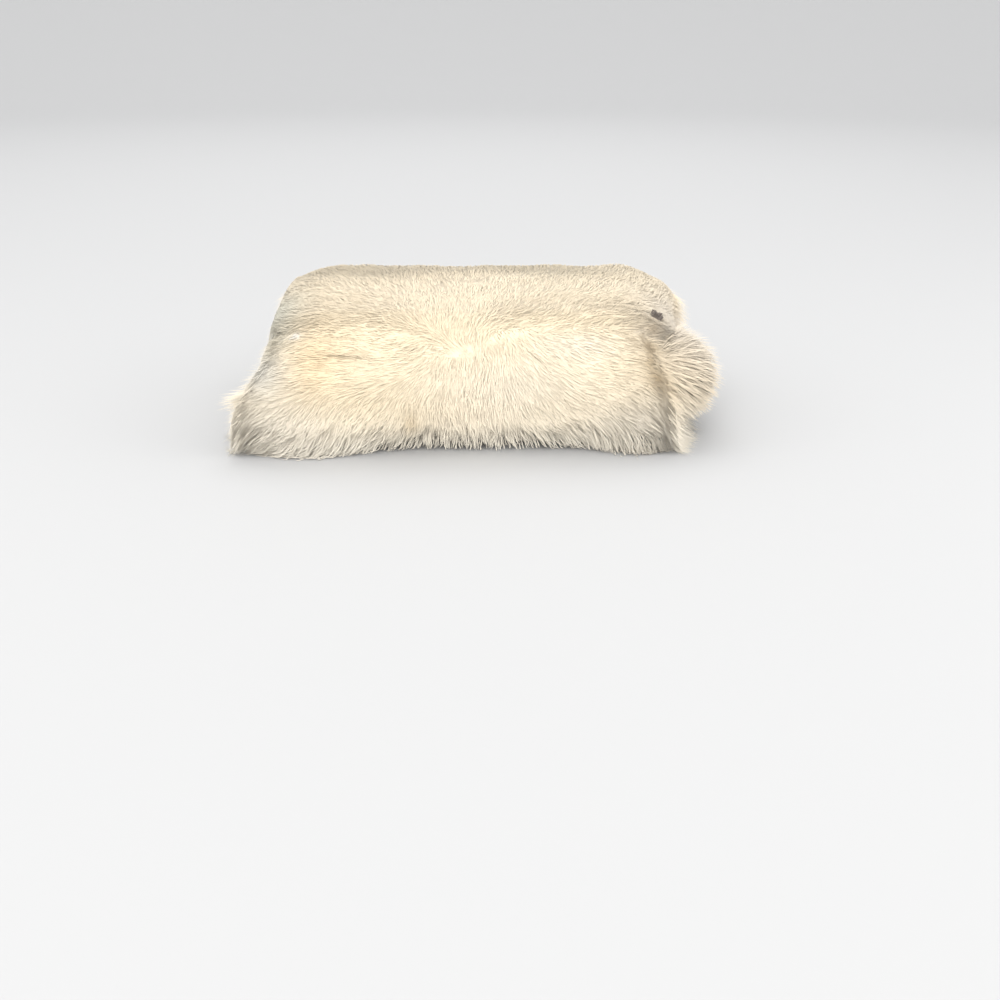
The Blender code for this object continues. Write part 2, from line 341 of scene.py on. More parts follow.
class FoldedPelt:
    """The folded form of one pelt: every place on it, from the seam to the end of its flap.

    A place is a station, counted from the seam along the folds, and a share v of the width from the left.
    """

    def __init__(self, side: Side, runs: tuple[Run, ...], spills: tuple[Spill, ...], combs: tuple[Comb, ...],
                 swells: tuple[Swell, ...], rim_radii: tuple[float, float]) -> None:
        """Set up the tables of the runs and the map of the wool's height.

        Args:
            side: Which of the two pelts it is.
            runs: The runs from the seam to the flap's end.
            spills: How far the wool runs past the leather at the start of each run.
            combs: Places where the fall of the wool is known.
            swells: Places where the wool stands higher.
            rim_radii: Radius in which strands that run past the rim turn down, left and right.
        """
        self.side = side
        self.rim_radii = rim_radii
        self.combs = combs
        self.runs = runs
        self.spills = spills
        self.swells = swells
        self.kinds = np.array([run.name for run in runs])
        self.steps = np.array([run.steps for run in runs], float)
        self.starts = np.concatenate(([0.0], np.cumsum(self.steps)[:-1]))
        self.last = float(self.steps.sum())
        low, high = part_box(LOWER_HIDE)
        self.shift = np.array((low[0] - HIDE_LEAST_X, high[1] - HIDE_MOST_Y, 0.0))
        self.heights = self.measure_heights()

    def start_of(self, name: str) -> float:
        """Station where a run starts."""
        return float(self.starts[list(self.kinds).index(name)])

    def column(self, name: str, index: np.ndarray, share: np.ndarray) -> np.ndarray:
        """Read one column of the run table, eased between two rows."""
        values = np.array([getattr(run, name) for run in self.runs])
        return mix(values[index], values[index + 1], ease(share))

    def spread(self, station: np.ndarray, share: np.ndarray) -> np.ndarray:
        """Turn shares of the wool's width, which runs past the leather, into shares of the leather's width.

        Args:
            station: Stations from the seam.
            share: Shares of the wool's width from the left.

        Returns:
            Shares of the leather's width, which run past 0 and 1.
        """
        index, before = self.locate(station)
        wide = self.column("right", index, before) - self.column("left", index, before)
        spills = np.array(self.spills)
        spill = mix(spills[index], spills[index + 1], ease(before)[..., None])
        return mix(-spill[..., 0] / wide, 1.0 + spill[..., 1] / wide, share)

    def locate(self, station: np.ndarray) -> tuple[np.ndarray, np.ndarray]:
        """Find the run of each station and the share of it that lies before.

        Args:
            station: Stations from the seam.

        Returns:
            The index of the run, and the share from 0 to 1.
        """
        station = np.clip(station, -SEAM_OVERLAP, self.last)
        index = np.searchsorted(self.starts[:-1], station - 1e-6, side="right") - 1
        index = np.clip(index, 0, len(self.runs) - 2)
        return index, (station - self.starts[index]) / self.steps[index]

    def seam_angle(self, x: np.ndarray) -> np.ndarray:
        """Find the angle of this pelt's edge along the seam, in its own mirrored section.

        Args:
            x: Place along the fold.

        Returns:
            Angles in radians.
        """
        offset = (x - SEAM_MIDDLE_X) / SEAM_HALF_LENGTH
        rise = np.where(offset > 0.0, SEAM_RISE_RIGHT, SEAM_RISE_LEFT)
        angle = np.radians(SEAM_ANGLE + rise * offset * offset)
        return self.side.value * angle + 0.5 * SEAM_GAP / FRONT_RADIUS

    def section(self, index: np.ndarray, share: np.ndarray, x: np.ndarray) -> tuple[np.ndarray, ...]:
        """Find the flesh side of the leather in the mirrored section.

        Args:
            index: Run of each place.
            share: Share of the run before it.
            x: Place along the fold.

        Returns:
            Y, level above the middle, and the two parts of the normal to the wool side.
        """
        kind = self.kinds[index]
        level_angle = math.radians(-UNDER_ANGLE)
        first = np.where(kind == "under", level_angle, self.seam_angle(x))
        down_front = (kind == "front") & (self.side is Side.LOWER)
        last = np.where(down_front, level_angle, math.pi / 2.0)
        round_front = mix(first, last, share)
        round_back = mix(math.pi / 2.0, -math.pi / 2.0, share)
        inner = FRONT_RADIUS - BACK_TURN_RADIUS
        along = mix(FRONT_AXIS_Y, BACK_TURN_Y, share)
        home = mix(BACK_TURN_Y, FLAP_END_Y, share)
        cases = [kind == "main", kind == "turn", kind == "flap"]
        out_y = np.select(cases, [0.0 * x, np.cos(round_back), 0.0 * x], -np.cos(round_front))
        out_level = np.select(cases, [0.0 * x + 1.0, np.sin(round_back), 0.0 * x - 1.0], np.sin(round_front))
        y = np.select(cases, [along, BACK_TURN_Y + BACK_TURN_RADIUS * out_y, home],
                      FRONT_AXIS_Y + FRONT_RADIUS * out_y)
        level = np.select(cases, [0.0 * x + FRONT_RADIUS, inner + BACK_TURN_RADIUS * out_level,
                                  0.0 * x + inner - BACK_TURN_RADIUS], FRONT_RADIUS * out_level)
        return y, level, out_y, out_level

    def measure_heights(self) -> np.ndarray:
        """Measure the wool's height at every cell of a fine map, as the solids have it.

        Returns:
            Heights by station and share of the width.
        """
        rows = int(self.last) * CELLS_A_STATION + 1
        station, v = np.meshgrid(np.linspace(0.0, self.last, rows), np.linspace(0.0, 1.0, CELLS_ACROSS + 1),
                                 indexing="ij")
        index, share = self.locate(station)
        kind = self.kinds[index]
        left = self.column("left", index, share)
        right = self.column("right", index, share)
        loose = self.column("loose", index, share)
        x = mix(left, right, v)
        height = self.column("pile", index, share)
        height = height - (kind == "front") * self.parting(share, x)
        for skirt in SKIRTS:
            height = height + (kind == "under") * skirt_height(skirt, share, x)
        crown = (kind == "main") & (self.side is Side.UPPER)
        height = height + crown * TOP_CROWN * np.sin(np.pi * share)
        height = height + (kind == "turn") * BACK_BULGE * np.sin(np.pi * share) ** 2
        offset = LUMP_SIDE_OFFSET * self.side.value
        lumps = [noise.noise(Vector((a / LUMP_LENGTH, b / LUMP_STATIONS, offset)))
                 for a, b in zip(x.ravel(), station.ravel())]
        calm = TOP_CALM if self.side is Side.UPPER else 1.0
        height = height + calm * LUMP_HEIGHT * loose * np.array(lumps).reshape(x.shape)
        rim = np.minimum(x - left, right - x)
        roll = np.maximum(0.0, 1.0 - rim / RIM_ROLL)
        height = height * (1.0 - RIM_DROP * loose * roll * roll)
        for swell in self.swells:
            apart = np.hypot((x - swell.x) / swell.reach, (station - swell.station) / swell.reach_stations)
            height = height + swell.height * np.exp(-apart * apart)
        return height

    def parting(self, share: np.ndarray, x: np.ndarray) -> np.ndarray:
        """Find the depth by which the wool parts along the seam.

        Args:
            share: Share of the front run that lies before.
            x: Place along the fold.

        Returns:
            Depths.
        """
        last = math.radians(-UNDER_ANGLE) if self.side is Side.LOWER else math.pi / 2.0
        distance = share * FRONT_RADIUS * (last - self.seam_angle(x)) / PARTING_WIDTH
        return PARTING_DEPTH * np.exp(-distance * distance)

    def pile(self, station: np.ndarray, v: np.ndarray) -> np.ndarray:
        """Read the height of the wool from the map, blended between its cells.

        Args:
            station: Stations from the seam.
            v: Shares of the width.

        Returns:
            Heights above the roots.
        """
        row = np.clip(station * CELLS_A_STATION, 0.0, self.heights.shape[0] - 1.001)
        cell = np.clip(v * CELLS_ACROSS, 0.0, CELLS_ACROSS - 0.001)
        i, j = row.astype(int), cell.astype(int)
        a, b = row - i, cell - j
        table = self.heights
        near = table[i, j] * (1.0 - b) + table[i, j + 1] * b
        far = table[i + 1, j] * (1.0 - b) + table[i + 1, j + 1] * b
        return near * (1.0 - a) + far * a

    def x_of(self, station: np.ndarray, v: np.ndarray) -> np.ndarray:
        """Place along the fold, before the model is centred."""
        index, share = self.locate(station)
        return mix(self.column("left", index, share), self.column("right", index, share), v)

    def point(self, station: np.ndarray, v: np.ndarray, height: np.ndarray, lean: float = 1.0) -> np.ndarray:
        """Find world points above the flesh side of the leather. Past the rim they run on and turn down.

        Args:
            station: Stations from the seam.
            v: Share of the width from the left, which may run past 0 and 1.
            height: Height above the flesh side.
            lean: 1 in the wool, which leans out at its rim, and 0 in the leather.

        Returns:
            Points, one row each.
        """
        index, share = self.locate(station)
        kind = self.kinds[index]
        inside = np.clip(v, 0.0, 1.0)
        left = self.column("left", index, share)
        right = self.column("right", index, share)
        x = mix(left, right, inside)
        y, level, out_y, out_level = self.section(index, share, x)
        y = y + out_y * height - (kind == "flap") * END_LEAN * lean * share ** END_LEAN_POWER
        level = level + out_level * height
        within = (kind == "turn") | (kind == "flap")
        level = np.where(within, np.maximum(level, 0.5 * MIDDLE_GAP), level)
        beyond = np.abs(v - inside) * (right - left)
        radius = np.where(v < 0.5, *self.rim_radii)
        turned = np.minimum(beyond / radius, RIM_TURN)
        rest = beyond - turned * radius
        out = radius * np.sin(turned) + rest * math.cos(RIM_TURN)
        drop = radius * (1.0 - np.cos(turned)) + rest * math.sin(RIM_TURN)
        x = x + RIM_FLARE * lean * (2.0 * inside - 1.0) ** RIM_LEAN_POWER + np.sign(v - inside) * out
        z = (MIDDLE_Z + self.side.value * level) * self.end_sag(x) - drop
        return np.stack((x, y, np.maximum(z, 0.0)), axis=-1) + self.shift

    @staticmethod
    def end_sag(x: np.ndarray) -> np.ndarray:
        """Find the share of its full height that the stack keeps.

        Args:
            x: Place along the fold.

        Returns:
            Shares up to 1.
        """
        left = LEFT_SAG.share * ease((np.abs(x) - LEFT_SAG.start) / LEFT_SAG.length)
        right = RIGHT_SAG.share * ease((np.abs(x) - RIGHT_SAG.start) / RIGHT_SAG.length)
        return 1.0 - np.where(x > 0.0, right, left)

    def fall(self, station: np.ndarray, v: np.ndarray) -> np.ndarray:
        """Find how the wool falls between the combed places.

        Args:
            station: Stations from the seam.
            v: Shares of the width.

        Returns:
            The parts of the fall along the pelt and towards X.
        """
        x = self.x_of(station, np.clip(v, 0.0, 1.0))
        total = np.zeros((*np.shape(station), 2))
        for comb in self.combs:
            apart = ((x - comb.x) / COMB_REACH_X) ** 2 + ((station - comb.station) / COMB_REACH_STATIONS) ** 2
            weight = 1.0 / (apart + COMB_SOFTNESS) ** 2
            turn = math.radians(comb.turn)
            total = total + weight[..., None] * np.array((math.cos(turn), math.sin(turn)))
        return unit(total)

    def outward(self, station: np.ndarray, v: np.ndarray) -> np.ndarray:
        """Find directions out of the wool, tilted outwards near the rim and never far below level.

        Args:
            station: Stations from the seam.
            v: Shares of the width.

        Returns:
            Directions, one row each.
        """
        index, share = self.locate(station)
        x = self.x_of(station, np.clip(v, 0.0, 1.0))
        _, _, out_y, out_level = self.section(index, share, x)
        past = np.clip((np.abs(v - 0.5) - 0.5) / RIM_TILT_SHARE, 0.0, 1.0)
        tilt = np.clip(2.0 * v - 1.0, -1.0, 1.0) ** RIM_LEAN_POWER * (1.0 + past)
        return unit(np.stack((tilt, out_y, np.maximum(self.side.value * out_level, LEAST_SKYWARD)), axis=-1))


def skirt_height(skirt: Skirt, share: np.ndarray, x: np.ndarray) -> np.ndarray:
    """Find the extra wool of one lobe low on the front.

    Args:
        skirt: The lobe.
        share: Share of the run under the fold that lies before.
        x: Place along the fold.

    Returns:
        Extra heights.
    """
    beside = 1.0 - np.minimum(np.abs(x - skirt.middle) / skirt.half_width, 1.0)
    below = ease(share / SKIRT_SHARE) * (1.0 - ease(share - SKIRT_SHARE))
    return skirt.extra * ease(beside) * below


def deselect_all() -> None:
    """Leave nothing selected."""
    for item in bpy.context.selected_objects:
        item.select_set(False)


def dress_piece(piece: bpy.types.Object, material: bpy.types.Material, node: str) -> None:
    """Give a finished piece its material, and fix it to the body in the place of its solid.

    Args:
        piece: The piece.
        material: Its material.
        node: The solid whose place it takes.
    """
    piece.data.materials.append(material)
    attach(piece, ROOT_BODY)
    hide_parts(node)
    count = sum(len(face.vertices) - 2 for face in piece.data.polygons)
    log.info("%s: %d triangles", piece.name, count)


def signed_volume(mesh: bpy.types.Mesh) -> float:
    """Measure the volume inside a closed mesh.

    Args:
        mesh: The mesh.

    Returns:
        Its volume, below zero where it is inside out.
    """
    mesh.calc_loop_triangles()
    corners = np.zeros(len(mesh.loop_triangles) * 3, np.int32)
    mesh.loop_triangles.foreach_get("vertices", corners)
    points = np.zeros(len(mesh.vertices) * 3)
    mesh.vertices.foreach_get("co", points)
    a, b, c = points.reshape(-1, 3)[corners].reshape(-1, 3, 3).transpose(1, 0, 2)
    return float((a * np.cross(b, c)).sum() / 6.0)


class SlabPattern(NamedTuple):
    """A flat closed slab and the cells along each side of it."""

    along: int
    across: int


def make_slab(name: str, pattern: SlabPattern) -> tuple[bpy.types.Object, np.ndarray]:
    """Model a flat slab, one unit each way, ready to be laid along the folds.

    Args:
        name: Name of the piece.
        pattern: Cells along each side.

    Returns:
        The piece, and its points from 0 to 1 along, across and through.
    """
    deselect_all()
    bpy.ops.mesh.primitive_grid_add(x_subdivisions=pattern.along, y_subdivisions=pattern.across, size=1.0,
                                    location=(0.5, 0.5, 0.0))
    piece = bpy.context.object
    piece.name = name
    piece.data.name = name
    bpy.ops.object.transform_apply(location=True, rotation=True, scale=True)
    bpy.ops.object.mode_set(mode="EDIT")
    bpy.ops.mesh.select_all(action="SELECT")
    bpy.ops.mesh.extrude_region_move(TRANSFORM_OT_translate={"value": (0.0, 0.0, 1.0)})
    bpy.ops.object.mode_set(mode="OBJECT")
    points = np.zeros(len(piece.data.vertices) * 3)
    piece.data.vertices.foreach_get("co", points)
    return piece, points.reshape(-1, 3)


def place_points(piece: bpy.types.Object, points: np.ndarray) -> None:
    """Lay a piece's points in place, with its faces turned outwards.

    Args:
        piece: The piece.
        points: Its points, one row each.
    """
    piece.data.vertices.foreach_set("co", points.astype(np.float32).ravel())
    piece.data.update()
    if signed_volume(piece.data) < 0.0:
        piece.data.flip_normals()
    piece.data.shade_smooth()
    deselect_all()


def fibre_grain() -> bpy.types.NodeTree:
    """Make the shared effect once: fine grain that varies a colour, its roughness and its height.

    Returns:
        The node group.
    """
    if "fibre_grain" in bpy.data.node_groups:
        return bpy.data.node_groups["fibre_grain"]
    tree = bpy.data.node_groups.new("fibre_grain", "ShaderNodeTree")
    face = tree.interface
    face.new_socket(name="Place", in_out="INPUT", socket_type="NodeSocketVector")
    face.new_socket(name="Colour", in_out="INPUT", socket_type="NodeSocketColor")
    for name in ("Scale", "Strength", "Roughness"):
        face.new_socket(name=name, in_out="INPUT", socket_type="NodeSocketFloat")
    face.new_socket(name="Colour", in_out="OUTPUT", socket_type="NodeSocketColor")
    for name in ("Roughness", "Height"):
        face.new_socket(name=name, in_out="OUTPUT", socket_type="NodeSocketFloat")
    given = tree.nodes.new("NodeGroupInput")
    made = tree.nodes.new("NodeGroupOutput")
    fine = tree.nodes.new("ShaderNodeTexNoise")
    fine.inputs["Detail"].default_value = 3.0
    centred = add_math(tree, "SUBTRACT", 0.5)
    swing = add_math(tree, "MULTIPLY", 1.0)
    lift = add_math(tree, "ADD", 1.0)
    rough = add_math(tree, "ADD", 0.0)
    rough.use_clamp = True
    scaled = tree.nodes.new("ShaderNodeVectorMath")
    scaled.operation = "SCALE"
    for start, end in (
        (given.outputs["Place"], fine.inputs["Vector"]),
        (given.outputs["Scale"], fine.inputs["Scale"]),
        (fine.outputs["Fac"], centred.inputs[0]),
        (centred.outputs[0], swing.inputs[0]),
        (given.outputs["Strength"], swing.inputs[1]),
        (swing.outputs[0], lift.inputs[0]),
        (given.outputs["Colour"], scaled.inputs[0]),
        (lift.outputs[0], scaled.inputs["Scale"]),
        (scaled.outputs["Vector"], made.inputs["Colour"]),
        (given.outputs["Roughness"], rough.inputs[0]),
        (swing.outputs[0], rough.inputs[1]),
        (rough.outputs[0], made.inputs["Roughness"]),
        (fine.outputs["Fac"], made.inputs["Height"]),
    ):
        tree.links.new(start, end)
    return tree


def add_math(tree: bpy.types.NodeTree, operation: str, value: float) -> bpy.types.Node:
    """Add a math node to a node tree.

    Args:
        tree: The node tree.
        operation: What it does, in Blender's word.
        value: Its second number, where nothing is joined to it.

    Returns:
        The node.
    """
    node = tree.nodes.new("ShaderNodeMath")
    node.operation = operation
    node.inputs[1].default_value = value
    return node


@dataclass(frozen=True)
class Grain:
    """The fine grain of a finish: how far it varies the colour and roughness, and how deep it is."""

    scale: float
    strength: float
    roughness: float
    bump: float = 0.0
    bump_depth: float = 0.004

    def start(self, name: str) -> tuple[bpy.types.Material, bpy.types.Node]:
        """Start a material with its shader, and put the grain before it.

        Args:
            name: Name of the material.

        Returns:
            The material, and the node of the grain, which still needs its colour.
        """
        material = bpy.data.materials.new(name)
        material.use_nodes = True
        tree = material.node_tree
        shader = tree.nodes["Principled BSDF"]
        place = tree.nodes.new("ShaderNodeTexCoord")
        grain = tree.nodes.new("ShaderNodeGroup")
        grain.node_tree = fibre_grain()
        grain.inputs["Scale"].default_value = self.scale
        grain.inputs["Strength"].default_value = self.strength
        grain.inputs["Roughness"].default_value = self.roughness
        tree.links.new(place.outputs["Object"], grain.inputs["Place"])
        tree.links.new(grain.outputs["Colour"], shader.inputs["Base Color"])
        tree.links.new(grain.outputs["Roughness"], shader.inputs["Roughness"])
        if self.bump > 0.0:
            bump = tree.nodes.new("ShaderNodeBump")
            bump.inputs["Strength"].default_value = self.bump
            bump.inputs["Distance"].default_value = self.bump_depth
            tree.links.new(grain.outputs["Height"], bump.inputs["Height"])
            tree.links.new(bump.outputs["Normal"], shader.inputs["Normal"])
        return material, grain


@dataclass(frozen=True)
class WoolFinish:
    """Finish of the wool: its grain, and its sheen, over the tint of each piece."""

    name: str
    grain: Grain
    sheen: float
    sheen_roughness: float = 0.45
    sheen_colour: tuple[float, float, float, float] = (1.0, 0.96, 0.88, 1.0)
    shine: float = 0.25

    def make(self) -> bpy.types.Material:
        """Make the material.

        Returns:
            The material, which takes its colour from the tint of each piece.
        """
        material, grain = self.grain.start(self.name)
        tree = material.node_tree
        shader = tree.nodes["Principled BSDF"]
        shader.inputs["Sheen Weight"].default_value = self.sheen
        shader.inputs["Sheen Roughness"].default_value = self.sheen_roughness
        shader.inputs["Sheen Tint"].default_value = self.sheen_colour
        shader.inputs["Specular IOR Level"].default_value = self.shine
        tint = tree.nodes.new("ShaderNodeAttribute")
        tint.attribute_name = TINT
        tree.links.new(tint.outputs["Color"], grain.inputs["Colour"])
        return material


@dataclass(frozen=True)
class LeatherFinish:
    """Finish of the tanned flesh side: suede grain over a cloudy tan ground."""

    name: str = "tanned_suede"
    grain: Grain = Grain(scale=240.0, strength=0.3, roughness=0.82, bump=0.4, bump_depth=0.0006)
    ground: tuple[float, float, float] = (196.0, 160.0, 118.0)
    cloud_scale: float = 14.0
    cloud_detail: float = 6.0
    cloud_shade: float = 0.72
    cloud_ends: tuple[float, float] = (0.3, 0.7)
    sheen: float = 0.2

    def make(self) -> bpy.types.Material:
        """Make the material.

        Returns:
            The material.
        """
        material, grain = self.grain.start(self.name)
        tree = material.node_tree
        tree.nodes["Principled BSDF"].inputs["Sheen Weight"].default_value = self.sheen
        place = tree.nodes.new("ShaderNodeTexCoord")
        clouds = tree.nodes.new("ShaderNodeTexNoise")
        clouds.inputs["Scale"].default_value = self.cloud_scale
        clouds.inputs["Detail"].default_value = self.cloud_detail
        tree.links.new(place.outputs["Object"], clouds.inputs["Vector"])
        ramp = tree.nodes.new("ShaderNodeValToRGB")
        ground = linear(*self.ground)
        shades = zip(ramp.color_ramp.elements, self.cloud_ends, (self.cloud_shade * ground, ground))
        for element, position, colour in shades:
            element.position = position
            element.color = (*colour, 1.0)
        tree.links.new(clouds.outputs["Fac"], ramp.inputs["Fac"])
        tree.links.new(ramp.outputs["Color"], grain.inputs["Colour"])
        return material


@dataclass(frozen=True)
class ThreadFinish:
    """Finish of the sewing thread: waxed and twisted."""

    name: str = "waxed_thread"
    grain: Grain = Grain(scale=900.0, strength=0.4, roughness=0.5)
    ground: tuple[float, float, float] = (222.0, 205.0, 172.0)

    def make(self) -> bpy.types.Material:
        """Make the material.

        Returns:
            The material.
        """
        material, grain = self.grain.start(self.name)
        grain.inputs["Colour"].default_value = (*linear(*self.ground), 1.0)
        return material


@dataclass(frozen=True)
class WoolTint:
    """How the fleece is coloured: cream, with patches, a pale fringe, roots darkened partly in their own tone
    and partly as painted shade, and a few strands darkened as painted shade lines.
    """

    cream: tuple[float, float, float] = (251.0, 232.0, 199.0)
    fringe: tuple[float, float, float] = (247.0, 239.0, 222.0)
    fringe_top: float = 0.085
    patches: tuple[TintPatch, ...] = PATCHES
    spread: float = 0.025
    root_tone_and_shade: float = 0.96
    root_length: float = 0.6
    shade_line_share: float = 0.035
    shade_line_level: float = 0.80

    def at(self, points: np.ndarray, along: np.ndarray, draw: np.ndarray) -> np.ndarray:
        """Colour points of the wool.

        Args:
            points: Points, one row each.
            along: Share of the strand before each, from the root.
            draw: Number from -1 to 1 for each, the same all along a strand.

        Returns:
            Colours with full alpha.
        """
        low = 1.0 - ease(points[:, 2] / self.fringe_top)
        colour = mix(linear(*self.cream)[None, :], linear(*self.fringe)[None, :], low[:, None])
        for patch in self.patches:
            apart = np.linalg.norm((points - np.array(patch.place)) / np.array(patch.reach), axis=1)
            weight = patch.strength * np.exp(-apart * apart)
            colour = mix(colour, linear(*patch.colour)[None, :], weight[:, None])
        # Roots are darker, partly their own tone and partly painted shade deep in the wool; a few strands are
        # darkened whole as painted shade lines between the locks.
        shade = mix(self.root_tone_and_shade, 1.0, ease(along / self.root_length)) * (1.0 + self.spread * draw)
        shade = np.where(draw < 2.0 * self.shade_line_share - 1.0, self.shade_line_level, 1.0) * shade
        colour = np.clip(colour * shade[:, None], 0.0, 1.0)
        return np.concatenate((colour, np.ones((len(colour), 1))), axis=1)


def paint(piece: bpy.types.Object, colours: np.ndarray) -> None:
    """Store the colours of a piece's points as its tint."""
    layer = piece.data.attributes.new(TINT, "FLOAT_COLOR", "POINT")
    layer.data.foreach_set("color", colours.astype(np.float32).ravel())


@dataclass
class Hide:
    """The leather of one pelt: a thin sheet, folded with the flesh side inwards."""

    name: str
    pelt: FoldedPelt
    node: str
    flat: tuple[float, float]
    area: float
    pattern: SlabPattern
    rests_on: tuple[str, ...]

    def build(self, material: bpy.types.Material) -> bpy.types.Object:
        """Fold the sheet and dress it.

        Args:
            material: The leather.

        Returns:
            The piece.
        """
        piece, points = make_slab(self.name, self.pattern)
        height = points[:, 2] * HIDE_THICKNESS
        place_points(piece, self.pelt.point(points[:, 0] * self.pelt.last, points[:, 1], height, 0.0))
        dress_piece(piece, material, self.node)
        return piece


@dataclass
class SeamThread:
    """The whip stitches that join the two hides where they meet in the front fold."""

    name: str
    node: str
    upper: FoldedPelt
    lower: FoldedPelt
    first_x: float = -0.250
    last_x: float = 0.182
    stitches: int = 72
    thread: float = 0.0005
    reach: float = 0.0034
    slant: float = 0.4

    def build(self, material: bpy.types.Material) -> bpy.types.Object:
        """Sew the seam.

        Args:
            material: The thread.

        Returns:
            The piece.
        """
        ring, faces = self.model_stitch()
        x = np.linspace(self.first_x, self.last_x, self.stitches)
        ends = [pelt.point(0.0 * x, self.share_at(pelt, x), 0.0 * x + 0.5 * HIDE_THICKNESS)
                for pelt in (self.upper, self.lower)]
        middle = 0.5 * (ends[0] + ends[1])
        across = ends[0] - ends[1]
        across[:, 0] = 0.0
        across = unit(across)
        out = np.stack((0.0 * x, across[:, 2], -across[:, 1]), axis=-1)
        points = middle[:, None, :] + ring[None, :, 1:2] * across[:, None, :]
        points = points + ring[None, :, 2:3] * out[:, None, :]
        points[..., 0] = points[..., 0] + ring[None, :, 0]
        mesh = bpy.data.meshes.new(self.name)
        size = len(ring)
        all_faces = [tuple(corner + number * size for corner in face)
                     for number in range(self.stitches) for face in faces]
        mesh.from_pydata(points.reshape(-1, 3).tolist(), [], all_faces)
        if signed_volume(mesh) < 0.0:
            mesh.flip_normals()
        mesh.shade_smooth()
        piece = bpy.data.objects.new(self.name, mesh)
        bpy.context.scene.collection.objects.link(piece)
        dress_piece(piece, material, self.node)
        return piece

    @staticmethod
    def share_at(pelt: FoldedPelt, x: np.ndarray) -> np.ndarray:
        """Share of the width at which a pelt's seam edge passes x."""
        left, right = pelt.runs[0].left, pelt.runs[0].right
        return (x - left) / (right - left)

    def model_stitch(self) -> tuple[np.ndarray, list[tuple[int, ...]]]:
        """Model one stitch: a loop of thread round both edges, slanted a little along the seam.

        Returns:
            Its points, and its faces.
        """
        deselect_all()
        bpy.ops.mesh.primitive_torus_add(major_segments=12, minor_segments=4, major_radius=self.reach,
                                         minor_radius=self.thread, rotation=(0.0, math.radians(90.0), 0.0))
        loop = bpy.context.object
        bpy.ops.object.transform_apply(location=True, rotation=True, scale=True)
        points = np.array([tuple(vertex.co) for vertex in loop.data.vertices])
        faces = [tuple(face.vertices) for face in loop.data.polygons]
        bpy.data.objects.remove(loop)
        points[:, 0] = points[:, 0] + self.slant * points[:, 1]
        points[:, 2] = points[:, 2] * (0.5 * HIDE_THICKNESS + self.thread) / self.reach
        return points, faces


@dataclass
class FleeceBed:
    """The dense wool beneath the loose strands of one pelt."""

    name: str
    pelt: FoldedPelt
    node: str
    pattern: SlabPattern
    depth: float = 0.007
    tuft_height: float = 0.0020
    tuft_length: float = 0.014
    under_height: float = 0.034
    least_height: float = 0.004

    def build(self, material: bpy.types.Material, tint: WoolTint) -> bpy.types.Object:
        """Fold the slab of wool and dress it.

        Args:
            material: The dense wool.
            tint: Colours of the wool.

        Returns:
            The piece.
        """
        piece, points = make_slab(self.name, self.pattern)
        station = points[:, 0] * self.pelt.last
        v = self.pelt.spread(station, points[:, 1])
        root = HIDE_THICKNESS + WOOL_GAP
        index, share = self.pelt.locate(station)
        loose = self.pelt.column("loose", index, share)
        spots = self.pelt.point(station, v, root + self.pelt.pile(station, v))
        tufts = np.array([noise.noise(Vector(spot) / self.tuft_length) for spot in spots])
        top = self.pelt.pile(station, v) - loose * (self.depth - self.tuft_height * tufts)
        # Beneath the front fold the dense wool is thin, so that the fringe hangs in front of it.
        under = (self.pelt.kinds[index] == "under") * ease(3.0 * share)
        top = mix(top, np.minimum(top, self.under_height), under)
        height = root + points[:, 2] * np.maximum(top, self.least_height)
        place_points(piece, self.pelt.point(station, v, height, 0.0))
        # Painted shade: the dense wool darkens from its top down to its roots and along its side walls.
        colours = tint.at(spots, np.full(len(spots), BED_LEVEL), tufts)
        colours[:, :3] *= mix(BED_PAINTED_SHADE, 1.0, points[:, 2:])
        paint(piece, colours)
        dress_piece(piece, material, self.node)
        return piece


def count_of(strands: int) -> int:
    return strands


class StrandPattern:
    """One strand of wool, modelled once: a closed tapered shoot with three sides."""

    def __init__(self, lengths: int) -> None:
        """Model the strand standing up, and read its points and faces.

        Args:
            lengths: How many straight lengths it bends in.
        """
        self.rings = lengths + 1
        deselect_all()
        bpy.ops.mesh.primitive_cone_add(vertices=3, radius1=1.0, radius2=0.0, depth=1.0,
                                        location=(0.0, 0.0, 0.5))
        piece = bpy.context.object
        bpy.ops.object.transform_apply(location=True, rotation=True, scale=True)
        bpy.ops.object.mode_set(mode="EDIT")
        for cut in range(1, lengths):
            bpy.ops.mesh.select_all(action="SELECT")
            bpy.ops.mesh.bisect(plane_co=(0.0, 0.0, cut / lengths), plane_no=(0.0, 0.0, 1.0))
        bpy.ops.object.mode_set(mode="OBJECT")
        mesh = piece.data
        points = np.array([tuple(vertex.co) for vertex in mesh.vertices])
        self.ring = np.rint(points[:, 2] * (self.rings - 1)).astype(int)
        self.around = np.arctan2(points[:, 1], points[:, 0])
        self.is_tip = self.ring == self.rings - 1
        self.faces = [tuple(face.vertices) for face in mesh.polygons]
        bpy.data.objects.remove(piece)
        log.info("strand: %d points, %d faces", len(points), len(self.faces))


